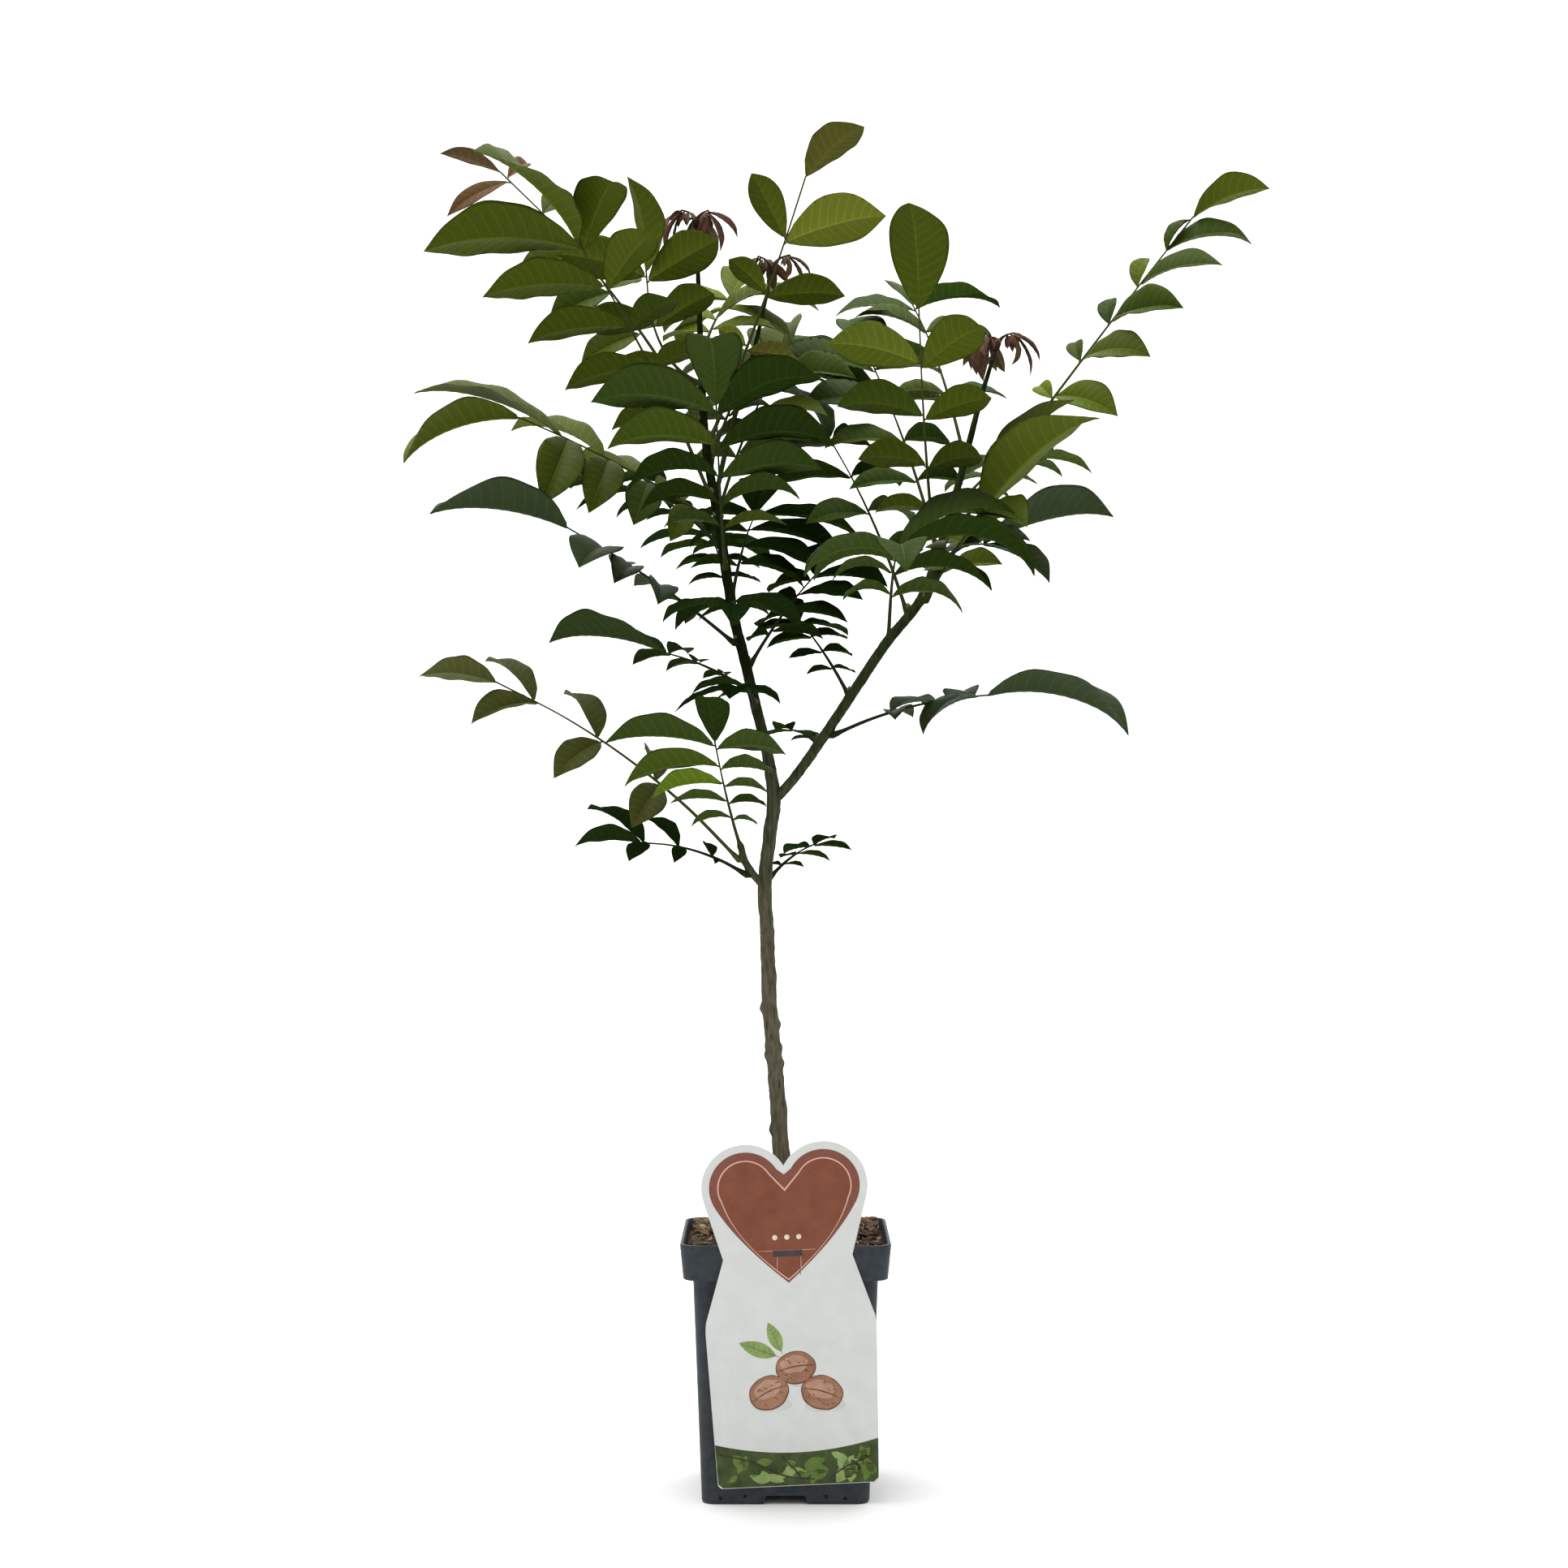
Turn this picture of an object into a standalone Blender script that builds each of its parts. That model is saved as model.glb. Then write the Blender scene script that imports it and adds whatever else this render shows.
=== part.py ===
"""Young walnut tree in a square nursery pot, with a heart topped plant card hung on the rim.

Metres, +Z up. The origin is the middle of the underside of the pot and the card is at the -Y side.
"""

import math
import random
from collections import namedtuple

import bmesh
import bpy
from mathutils import Matrix, Quaternion, Vector
from mathutils.bvhtree import BVHTree

UP = Vector((0.0, 0.0, 1.0))
GAP = 0.0003

# Pot: half widths of a square with rounded corners at heights above the ground
POT_TOP = 0.193
RIM_HALF = 0.078
SKIRT_HALF = 0.0757
SKIRT_FOOT = 0.1665
BODY_HALF = 0.0687
FOOT_HALF = 0.0622
RIM_INNER_HALF = 0.0755
SHELF_HALF = 0.0738
SHELF_TOP = 0.1695
WALL_TOP_HALF = 0.0667
WALL_TOP = 0.1655
WALL_FOOT_HALF = 0.0602
FLOOR_TOP = 0.009
CORNER_SHARE = 0.17
CORNER_STEPS = 3
CHANNEL_HALF = 0.017
CHANNEL_ROOF_HALF = 0.0145
CHANNEL_HEIGHT = 0.006
CHANNEL_END = 0.022

# Soil
SOIL_TOP = 0.185
SOIL_SEED = 11

# Plant card: sizes across and up its own face
CARD_THICK = 0.001
CARD_FOOT = Vector((0.0096, -0.0645, 0.0145))
CARD_LEAN = math.radians(4.5)
CARD_TURN = math.radians(-2.7)
CARD_FOOT_HALF = 0.0595
CARD_FOOT_CORNER = 0.004
CARD_WIDE_HALF = 0.0632
CARD_WIDE_UP = 0.119
CARD_WAIST_HALF = 0.0475
CARD_WAIST_UP = 0.171
LOBE_OUT = 0.0285
LOBE_UP = 0.2235
LOBE_RADIUS = 0.0325
LOBE_STEPS = 12
TONGUE_HALF = 0.012
TONGUE_BACK = 0.0732
TONGUE_FOOT = 0.1856

# Limbs: x, y, z and diameter at knots a smooth curve runs through
LIMBS = {
    "trunk": (
        (-0.001, 0.000, SOIL_TOP + GAP, 0.0150),
        (-0.001, 0.000, 0.205, 0.0128),
        (-0.004, 0.000, 0.260, 0.0124),
        (-0.007, 0.000, 0.305, 0.0118),
        (-0.012, 0.001, 0.363, 0.0112),
        (-0.014, 0.001, 0.419, 0.0106),
        (-0.016, 0.001, 0.455, 0.0104),
        (-0.012, 0.001, 0.493, 0.0100),
        (-0.009, 0.000, 0.522, 0.0106),
        (-0.015, 0.001, 0.560, 0.0084),
        (-0.028, 0.003, 0.613, 0.0080),
        (-0.041, 0.005, 0.668, 0.0078),
        (-0.050, 0.008, 0.727, 0.0074),
        (-0.061, 0.012, 0.794, 0.0064),
        (-0.065, 0.016, 0.870, 0.0048),
        (-0.068, 0.020, 0.952, 0.0028),
    ),
    "right_bough": (
        (-0.010, 0.000, 0.518, 0.0076),
        (0.010, -0.004, 0.541, 0.0078),
        (0.041, -0.009, 0.586, 0.0078),
        (0.075, -0.013, 0.637, 0.0078),
        (0.100, -0.015, 0.668, 0.0074),
        (0.112, -0.016, 0.696, 0.0070),
        (0.130, -0.017, 0.757, 0.0056),
        (0.146, -0.018, 0.819, 0.0042),
        (0.156, -0.018, 0.852, 0.0028),
    ),
    "centre_shoot": (
        (-0.053, 0.010, 0.752, 0.0040),
        (-0.043, 0.030, 0.800, 0.0038),
        (-0.026, 0.040, 0.860, 0.0034),
        (-0.012, 0.042, 0.920, 0.0026),
    ),
    "low_spur": (
        (-0.015, 0.001, 0.452, 0.0056),
        (-0.024, -0.002, 0.463, 0.0056),
        (-0.031, -0.003, 0.474, 0.0054),
        (-0.034, -0.003, 0.486, 0.0040),
    ),
}
LIMB_STEPS = 2
LIMB_SIDES = 8

# Compound leaves. foot is the height on the limb and end the end of the midstalk. left, right and top
# are the longest leaflets seen from the foot and the one at the end. Angles are in degrees: tilt lowers
# the left hand side, sweep turns the last pair forward, dip lowers and droop bends every leaflet. A pair
# of sweeps, dips or droops is for the left and the right hand. nod lowers the end leaflet and roll turns
# it about the midstalk.
Leaf = namedtuple(
    "Leaf",
    "name limb foot end pairs left right top tint arch tilt sweep dip droop first last small nod roll",
    defaults=(0.004, 0, 35, 8, 40, 0.34, 0.97, 0.5, 0, 0),
)
LEAVES = (
    Leaf("leaf_upper_left_front", "trunk", 0.751, (-0.150, -0.13, 0.922), 5, 0.082, 0.116, 0.118, "upper",
         0.008, tilt=-26, sweep=(48, 46), dip=(8, 12), droop=(34, 34), small=0.44, nod=9),
    Leaf("leaf_centre_front", "trunk", 0.696, (-0.049, -0.17, 0.799), 5, 0.102, 0.100, 0.084, "middle",
         -0.012, sweep=24, dip=-4, droop=60),
    Leaf("leaf_middle_left", "trunk", 0.733, (-0.197, -0.06, 0.803), 4, 0.086, 0.118, 0.106, "upper",
         0.004, tilt=28, sweep=(14, 66), dip=(22, 8), droop=44, first=0.16, last=0.78, small=0.5, nod=34),
    Leaf("leaf_bough_front", "right_bough", 0.701, (0.096, -0.12, 0.875), 4, 0.066, 0.074, 0.086, "upper",
         -0.014, sweep=(32, 18), dip=(-2, 4), droop=55, first=0.22, last=0.80, small=0.65),
    Leaf("leaf_far_right", "right_bough", 0.717, (0.309, 0.00, 0.962), 5, 0.034, 0.070, 0.066, "upper",
         0.002, tilt=-34, sweep=(80, 58), dip=-2, droop=45, first=0.44, last=0.90, small=0.9, nod=22),
    Leaf("leaf_top_centre", "trunk", 0.794, (0.015, -0.04, 0.985), 3, 0.086, 0.060, 0.064, "upper",
         -0.003, tilt=42, sweep=(44, 42), dip=(2, -2), droop=36, first=0.36, last=0.77, nod=29, roll=-62),
    Leaf("leaf_left_long", "trunk", 0.640, (-0.160, -0.08, 0.720), 4, 0.074, 0.046, 0.120, "lower",
         0.004, tilt=14, sweep=(38, -20), dip=(14, 4), droop=(34, 36), last=0.80, nod=16),
    Leaf("leaf_low_long", "low_spur", 0.476, (-0.213, -0.07, 0.607), 3, 0.062, 0.066, 0.063, "upper",
         0.012, tilt=35, sweep=(50, 44), dip=(16, -6), droop=45, first=0.38, last=0.86, small=0.85, nod=16),
    Leaf("leaf_low_right_long", "right_bough", 0.572, (0.150, -0.05, 0.598), 3, 0.056, 0.064, 0.120, "lower",
         0.006, tilt=-10, sweep=-36, dip=2, droop=(56, 40), first=0.42, last=0.94, small=0.6, nod=9),
    Leaf("leaf_right_front", "right_bough", 0.672, (0.146, -0.05, 0.734), 3, 0.112, 0.084, 0.124, "middle",
         0.002, tilt=-12, sweep=(52, 40), dip=(-6, 4), droop=(34, 30), nod=8),
    Leaf("leaf_right", "right_bough", 0.690, (0.150, 0.00, 0.714), 3, 0.070, 0.070, 0.116, "lower",
         0.008, tilt=-14, sweep=35, droop=(26, 40), nod=-14),
    Leaf("leaf_bough_low_front", "right_bough", 0.640, (0.080, -0.15, 0.695), 4, 0.120, 0.080, 0.074,
         "middle", 0.018, sweep=10, dip=-8, droop=75),
    Leaf("leaf_top_left_back", "trunk", 0.807, (-0.220, 0.04, 1.004), 5, 0.062, 0.052, 0.052, "upper",
         0.010, tilt=45, sweep=20, dip=12, droop=35, small=0.9, nod=22),
    Leaf("leaf_left_low", "trunk", 0.606, (-0.092, 0.04, 0.633), 3, 0.042, 0.044, 0.112, "lower",
         0.003, tilt=10, sweep=30, droop=30, dip=5, nod=2),
    Leaf("leaf_low_short", "low_spur", 0.466, (-0.108, -0.03, 0.488), 3, 0.036, 0.066, 0.054, "lower",
         0.006, tilt=25, sweep=48, dip=-4, droop=30, small=0.4),
    Leaf("leaf_low_front", "low_spur", 0.484, (-0.051, -0.12, 0.562), 5, 0.056, 0.086, 0.052, "middle",
         -0.004, sweep=12, dip=6, droop=40, nod=-10, small=0.4),
    Leaf("leaf_low_back", "trunk", 0.461, (0.022, 0.06, 0.485), 3, 0.032, 0.034, 0.034, "lower",
         0.003, droop=20),
    Leaf("leaf_fork_front", "trunk", 0.590, (-0.034, -0.09, 0.603), 3, 0.035, 0.056, 0.045, "lower",
         0.008, droop=35),
    Leaf("leaf_middle_front", "trunk", 0.654, (-0.037, -0.14, 0.658), 4, 0.060, 0.062, 0.052, "lower",
         0.010, droop=40),
    Leaf("leaf_centre_back", "trunk", 0.674, (-0.024, 0.10, 0.745), 4, 0.070, 0.096, 0.084, "lower",
         0.006, sweep=15, droop=40, small=0.6),
    Leaf("leaf_top_left_light", "trunk", 0.837, (-0.104, -0.04, 0.914), 3, 0.068, 0.070, 0.074, "upper",
         -0.020, tilt=-20, sweep=25, dip=5, small=0.8),
    Leaf("leaf_bough_left_back", "right_bough", 0.660, (0.034, 0.06, 0.801), 4, 0.076, 0.080, 0.072,
         "middle", 0.006, tilt=10, sweep=15, dip=12, small=0.6),
    Leaf("leaf_bough_low_back", "right_bough", 0.598, (0.011, 0.08, 0.660), 4, 0.045, 0.050, 0.048, "lower",
         0.003, sweep=20, dip=12, droop=22),
    Leaf("leaf_middle_right_back", "trunk", 0.622, (0.023, 0.07, 0.695), 4, 0.054, 0.070, 0.060, "lower",
         0.003, sweep=20, dip=12, droop=25, small=0.6),
    Leaf("leaf_fork_small", "right_bough", 0.562, (0.005, 0.05, 0.574), 2, 0.030, 0.036, 0.036, "lower",
         0.002, droop=30),
    Leaf("leaf_bough_back", "right_bough", 0.709, (0.069, 0.10, 0.863), 4, 0.092, 0.080, 0.074, "middle",
         0.006, sweep=20, small=0.6),
    Leaf("leaf_upper_back_right", "trunk", 0.742, (-0.005, 0.10, 0.863), 4, 0.080, 0.092, 0.078, "middle",
         0.006, sweep=20, small=0.7),
    Leaf("leaf_top_back_light", "trunk", 0.862, (-0.043, 0.08, 0.914), 4, 0.070, 0.072, 0.068, "upper",
         0.004, sweep=25, small=0.7),
    Leaf("leaf_back_low", "trunk", 0.664, (-0.062, 0.17, 0.735), 4, 0.060, 0.064, 0.066, "lower",
         0.008),
    Leaf("leaf_back_left", "trunk", 0.714, (-0.140, 0.16, 0.775), 4, 0.064, 0.068, 0.074, "lower",
         0.010, dip=12),
    Leaf("leaf_back_high", "trunk", 0.776, (-0.020, 0.19, 0.880), 4, 0.084, 0.084, 0.080, "middle",
         0.010, small=0.7),
    Leaf("leaf_back_right", "right_bough", 0.730, (0.190, 0.17, 0.795), 4, 0.064, 0.064, 0.070, "middle",
         0.010),
    Leaf("leaf_back_right_high", "right_bough", 0.778, (0.104, 0.18, 0.922), 4, 0.072, 0.084, 0.072,
         "middle", 0.010, dip=2, small=0.65),
)
FIRST_SWEEP = 12
START_RISE = 0.30
STALK_FOOT_RADIUS = 0.0016
STALK_END_RADIUS = 0.0009
STALK_RINGS = 5
STALK_SIDES = 4
PAIR_OFFSET = 0.003

# Young shoots at the limb tips: limb, reach of a frond, its leaflet length and the first heading
Shoot = namedtuple("Shoot", "name limb reach blade heading")
SHOOTS = (
    Shoot("young_tip_left", "trunk", 0.012, 0.036, 200),
    Shoot("young_tip_centre", "centre_shoot", 0.014, 0.028, 340),
    Shoot("young_tip_right", "right_bough", 0.014, 0.036, 350),
)
SHOOT_FRONDS = 3
SHOOT_STEM = 0.010
SHOOT_RADIUS = 0.0011
SHOOT_FROND = Leaf("frond", "", 0, (), 1, 0, 0, 0, "young", sweep=30, dip=55, droop=50, first=0.9, nod=72)

# Leaflets
BLADE_RATIO = 0.54
BLADE_THICK_SHARE = 0.012
BLADE_THICK = 0.0004
BLADE_FOLD = math.radians(30)
BLADE_FULL = 1.07
STATIONS = (0.10, 0.35, 0.70)
SHORT_BLADE = 0.045
SHORT_STATIONS = (0.16, 0.58)
ROOM = 0.0009
SHRINKS = (1.0, 0.85, 0.7)
PITCHES = (0.0, 0.2, -0.2, 0.4, -0.4)
YAWS = (0.0, 0.25, -0.25)

# Linear colours
TINTS = {
    "upper": (0.070, 0.095, 0.012),
    "middle": (0.036, 0.064, 0.010),
    "lower": (0.018, 0.036, 0.010),
    "young": (0.095, 0.040, 0.024),
}
BARK = (0.085, 0.074, 0.050)
GREEN_BARK = (0.050, 0.060, 0.030)
POT_GREY = (0.042, 0.050, 0.057)
SOIL_BROWN = (0.110, 0.070, 0.038)
CARD_WHITE = (0.760, 0.770, 0.740)

Tube = namedtuple("Tube", "points radii")
Blade = namedtuple("Blade", "root along normal length width droop fold")
Mass = namedtuple("Mass", "name tint tubes blades")


def material(name, colour, roughness):
    made = bpy.data.materials.new(name)
    made.use_nodes = True
    shader = made.node_tree.nodes["Principled BSDF"]
    shader.inputs["Base Color"].default_value = (*colour, 1.0)
    shader.inputs["Roughness"].default_value = roughness
    made.diffuse_color = (*colour, 1.0)
    return made


def body_of(name, points, faces, collection):
    """A closed object of these points and faces, facing out."""
    shell = bmesh.new()
    corners = [shell.verts.new(point) for point in points]
    for face in faces:
        shell.faces.new([corners[index] for index in face])
    bmesh.ops.recalc_face_normals(shell, faces=shell.faces)
    mesh = bpy.data.meshes.new(name)
    shell.to_mesh(mesh)
    shell.free()
    made = bpy.data.objects.new(name, mesh)
    collection.objects.link(made)
    return made


def ring_faces(rings, sides, first=0):
    """Quads between consecutive rings of points."""
    faces = []
    for ring in range(rings - 1):
        for side in range(sides):
            near = first + ring * sides + side
            next_near = first + ring * sides + (side + 1) % sides
            faces.append((near, next_near, next_near + sides, near + sides))
    return faces


def tube_shape(tube, sides, extra=0.0):
    """Points and faces of a tapering tube with flat ends."""
    points = []
    count = len(tube.points)
    side_way = None
    for index, centre in enumerate(tube.points):
        along = (tube.points[min(index + 1, count - 1)] - tube.points[max(index - 1, 0)]).normalized()
        if side_way is None:
            side_way = along.orthogonal().normalized()
        side_way = (side_way - along * side_way.dot(along)).normalized()
        other = along.cross(side_way)
        for side in range(sides):
            angle = 2 * math.pi * side / sides
            reach = tube.radii[index] + extra
            points.append(centre + (side_way * math.cos(angle) + other * math.sin(angle)) * reach)
    faces = ring_faces(count, sides)
    faces.append(tuple(range(sides)))
    faces.append(tuple(range((count - 1) * sides, count * sides)))
    return points, faces


def smooth_limb(knots, steps):
    """Tube through the knots by a Catmull-Rom curve, with steps points for each span."""
    rows = [Vector(knot) for knot in knots]
    rows = [rows[0] * 2 - rows[1], *rows, rows[-1] * 2 - rows[-2]]
    samples = []
    for index in range(1, len(rows) - 2):
        before, start, end, after = rows[index - 1 : index + 3]
        for step in range(steps):
            t = step / steps
            samples.append(
                start
                + (end - before) * (0.5 * t)
                + (before * 2 - start * 5 + end * 4 - after) * (0.5 * t * t)
                + (start * 3 - before - end * 3 + after) * (0.5 * t**3)
            )
    samples.append(rows[-2])
    return Tube([sample.to_3d() for sample in samples], [sample.w / 2 for sample in samples])


def limb_at(limb, height):
    """Centre, direction and radius of a limb at a height."""
    for index in range(len(limb.points) - 1):
        low, high = limb.points[index], limb.points[index + 1]
        if low.z <= height <= high.z:
            share = (height - low.z) / (high.z - low.z)
            radius = limb.radii[index] + (limb.radii[index + 1] - limb.radii[index]) * share
            return low.lerp(high, share), (high - low).normalized(), radius
    raise ValueError(height)


def bezier(start, control, end, t):
    return start * (1 - t) ** 2 + control * (2 * t * (1 - t)) + end * t**2


def flat_heading(start, end):
    return Vector((end.x - start.x, end.y - start.y, 0.0)).normalized()


def stalk_of(leaf, limb):
    """Midstalk of a leaf from just clear of its limb to its end."""
    centre, along, radius = limb_at(limb, leaf.foot)
    end = Vector(leaf.end)
    way = (end - centre).normalized()
    heading = flat_heading(centre, end)
    bulge = way.cross(UP.cross(heading)).normalized() * (2 * leaf.arch)
    out = (heading - along * heading.dot(along)).normalized()
    first = ((centre + end) / 2 + bulge - centre).normalized()
    slant = math.sqrt(max(0.0, 1 - first.dot(out) ** 2))
    foot = centre + out * (radius + GAP + 0.0001 + STALK_FOOT_RADIUS * slant)
    control = (foot + end) / 2 + bulge
    points = [bezier(foot, control, end, index / (STALK_RINGS - 1)) for index in range(STALK_RINGS)]
    spread = STALK_FOOT_RADIUS - STALK_END_RADIUS
    radii = [STALK_FOOT_RADIUS - spread * min(1.0, index / 3) for index in range(STALK_RINGS)]
    return Tube(points, radii)


def stalk_point(stalk, share):
    """Point and direction at a share of the length of a midstalk."""
    place = share * (len(stalk.points) - 1)
    index = min(int(place), len(stalk.points) - 2)
    low, high = stalk.points[index], stalk.points[index + 1]
    return low.lerp(high, place - index), (high - low).normalized()


def spine_point(blade, t):
    """Point and normal of the midrib of a leaflet at a share of its length."""
    bend = max(blade.droop, 0.02)
    first = bend * START_RISE
    angle = first - bend * t
    ahead = (math.sin(first) - math.sin(angle)) / bend * blade.length
    above = (math.cos(angle) - math.cos(first)) / bend * blade.length
    point = blade.root + blade.along * ahead + blade.normal * above
    return point, blade.normal * math.cos(angle) - blade.along * math.sin(angle)


def half_width(blade, t):
    return blade.width / 2 * math.sin(math.pi * t**1.1) ** 0.8


def blade_shape(blade, extra=0.0):
    """Points and faces of a leaflet: a point in the stalk, folded lens sections and a tip."""
    thick = (blade.length * BLADE_THICK_SHARE + BLADE_THICK) / 2 + extra
    side_way = blade.along.cross(blade.normal)
    stations = STATIONS if blade.length > SHORT_BLADE else SHORT_STATIONS
    points = [blade.root - blade.along * STALK_END_RADIUS]
    for t in stations:
        centre, normal = spine_point(blade, t)
        half = half_width(blade, t) * BLADE_FULL + extra
        across = side_way * (half * math.cos(blade.fold))
        raised = normal * (half * math.sin(blade.fold))
        points.append(centre - across + raised)
        points.append(centre + normal * thick)
        points.append(centre + across + raised)
        points.append(centre - normal * thick)
    points.append(spine_point(blade, 1.0)[0] + blade.along * extra)
    last = len(points) - 1
    faces = ring_faces(len(stations), 4, 1)
    for side in range(4):
        faces.append((0, 1 + side, 1 + (side + 1) % 4))
        faces.append((last, last - 4 + side, last - 4 + (side + 1) % 4))
    return points, faces


def tree_of(points, faces):
    """Search tree of a shape with its lowest and highest corner."""
    low = Vector([min(point[axis] for point in points) for axis in range(3)])
    high = Vector([max(point[axis] for point in points) for axis in range(3)])
    return BVHTree.FromPolygons(points, faces), low, high


def turned(blade, pitch, yaw, scale):
    """The leaflet pitched about its width, turned about its normal and shortened."""
    side_way = blade.along.cross(blade.normal)
    turn = Quaternion(blade.normal, yaw) @ Quaternion(side_way, pitch)
    return blade._replace(
        along=turn @ blade.along,
        normal=turn @ blade.normal,
        length=blade.length * scale,
        width=blade.width * scale,
    )


def is_free(blade, owner, taken):
    """Whether a leaflet clears all other masses, and beyond its root its own leaflets too."""
    points, faces = blade_shape(blade, ROOM)
    whole, low, high = tree_of(points, faces)
    outer = BVHTree.FromPolygons(points, [face for face in faces if 0 not in face])
    for name, own_stalk, tree, other_low, other_high in taken:
        if own_stalk and name == owner:
            continue
        if any(low[axis] > other_high[axis] or high[axis] < other_low[axis] for axis in range(3)):
            continue
        if (outer if name == owner else whole).overlap(tree):
            return False
    return True


def settled(blade, owner, taken):
    """The first free variant of a leaflet, or None."""
    for scale in SHRINKS:
        for pitch in PITCHES:
            for yaw in YAWS:
                tried = turned(blade, pitch, yaw, scale)
                if is_free(tried, owner, taken):
                    return tried
    return None


def dipped(ahead, face, angle):
    """Direction and normal of a leaflet lowered by an angle about its width."""
    face = (face - ahead * face.dot(ahead)).normalized()
    turn = Quaternion(ahead.cross(face), -angle)
    return turn @ ahead, turn @ face


def of_hand(value, hand):
    """Value for the left hand, 1, or the right hand, -1, of a leaf that may have one for both."""
    if isinstance(value, tuple):
        return value[0] if hand > 0 else value[1]
    return value


def wanted_blades(stalk, leaf, chance):
    """Leaflets of one frond before they are tested, from its end to its foot."""
    heading = flat_heading(stalk.points[0], stalk.points[-1])
    level = UP.cross(heading)
    length = (stalk.points[-1] - stalk.points[0]).length
    lean = math.radians(leaf.tilt)
    root, along = stalk_point(stalk, 1.0 - 0.001 / length)
    ahead, face = dipped(along, along.cross(level), math.radians(leaf.nod))
    turn = Quaternion(ahead, lean + math.radians(leaf.roll)) if leaf.roll else Quaternion(along, lean)
    bend = math.radians(of_hand(leaf.droop, 1) * chance.uniform(0.8, 1.1))
    width = leaf.top * BLADE_RATIO * chance.uniform(1.0, 1.15)
    found = [Blade(root, ahead, turn @ face, leaf.top, width, bend, BLADE_FOLD)]
    for pair in reversed(range(leaf.pairs)):
        grown = pair / max(1, leaf.pairs - 1)
        share = leaf.first + (leaf.last - leaf.first) * grown
        for hand, longest in ((1, leaf.left), (-1, leaf.right)):
            root, along = stalk_point(stalk, share - (PAIR_OFFSET / length if hand > 0 else 0.0))
            upper = along.cross(level).normalized()
            out = (level * math.cos(lean) - upper * math.sin(lean)) * hand
            face = upper * math.cos(lean) + level * math.sin(lean)
            sweep = FIRST_SWEEP + (of_hand(leaf.sweep, hand) - FIRST_SWEEP) * grown
            sweep = math.radians(sweep * chance.uniform(0.8, 1.2))
            ahead = (out * math.cos(sweep) + along * math.sin(sweep)).normalized()
            dip = math.radians(of_hand(leaf.dip, hand) + chance.uniform(-7, 7))
            ahead, face = dipped(ahead, face * 0.7 + UP * 0.3, dip)
            size = longest * (leaf.small + (1 - leaf.small) * grown) * chance.uniform(0.92, 1.04)
            bend = math.radians(of_hand(leaf.droop, hand) * chance.uniform(0.75, 1.25))
            width = size * BLADE_RATIO * chance.uniform(0.92, 1.1)
            found.append(Blade(root, ahead, face, size, width, bend, BLADE_FOLD))
    return found


def shoot_tubes(shoot, limb):
    """Stem and fronds of a young shoot above the tip of its limb."""
    tip = limb.points[-1]
    along = (tip - limb.points[-2]).normalized()
    foot = tip + along * (GAP + 0.0001)
    crown = foot + along * SHOOT_STEM
    tubes = [Tube([foot, crown], [SHOOT_RADIUS, SHOOT_RADIUS])]
    for index in range(SHOOT_FRONDS):
        angle = math.radians(shoot.heading + 360 * index / SHOOT_FRONDS)
        out = Vector((math.cos(angle), math.sin(angle), 0.0))
        start = crown - along * (SHOOT_RADIUS * (1 + 0.8 * index))
        end = start + out * shoot.reach + UP * (shoot.reach * 0.75)
        control = start + out * (shoot.reach * 0.2) + UP * (shoot.reach * 0.7)
        points = [bezier(start, control, end, step / 3) for step in range(4)]
        tubes.append(Tube(points, [SHOOT_RADIUS * 0.8] * 4))
    return tubes


def plan_masses():
    """Limbs, and all leaves and young shoots with leaflets that keep clear of each other."""
    limbs = {name: smooth_limb(knots, LIMB_STEPS) for name, knots in LIMBS.items()}
    masses = []
    for leaf in LEAVES:
        masses.append((leaf, Mass(leaf.name, leaf.tint, [stalk_of(leaf, limbs[leaf.limb])], [])))
    for shoot in SHOOTS:
        masses.append((shoot, Mass(shoot.name, "young", shoot_tubes(shoot, limbs[shoot.limb]), [])))
    taken = []
    for name, limb in limbs.items():
        taken.append((name, True, *tree_of(*tube_shape(limb, LIMB_SIDES, ROOM))))
    for _, mass in masses:
        for tube in mass.tubes:
            taken.append((mass.name, True, *tree_of(*tube_shape(tube, STALK_SIDES, ROOM))))
    for row, mass in masses:
        chance = random.Random(mass.name)
        leaf, fronds = row, mass.tubes
        if mass.tint == "young":
            leaf = SHOOT_FROND._replace(left=row.blade * 0.85, right=row.blade * 0.85, top=row.blade)
            fronds = mass.tubes[1:]
        wanted = [blade for frond in fronds for blade in wanted_blades(frond, leaf, chance)]
        for blade in wanted:
            placed = settled(blade, mass.name, taken)
            if placed:
                mass.blades.append(placed)
                taken.append((mass.name, False, *tree_of(*blade_shape(placed, ROOM))))
    return limbs, [mass for _, mass in masses]


def applied(made):
    """The object with its modifiers turned into its mesh."""
    bpy.context.view_layer.update()
    shaped = made.evaluated_get(bpy.context.evaluated_depsgraph_get())
    mesh = bpy.data.meshes.new_from_object(shaped)
    made.modifiers.clear()
    made.data = mesh
    return made


def boolean(made, others, operation):
    """The object joined with, or cut by, closed objects that are then removed."""
    held = bpy.data.collections.new(made.name + "_others")
    bpy.context.scene.collection.children.link(held)
    for other in others:
        for holder in list(other.users_collection):
            holder.objects.unlink(other)
        held.objects.link(other)
    cut = made.modifiers.new("Join", "BOOLEAN")
    cut.operation = operation
    cut.operand_type = "COLLECTION"
    cut.collection = held
    cut.solver = "EXACT"
    applied(made)
    for other in others:
        bpy.data.objects.remove(other)
    bpy.data.collections.remove(held)
    return made


def finish(made, slot):
    made.data.materials.clear()
    made.data.materials.append(slot)
    return made


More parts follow.
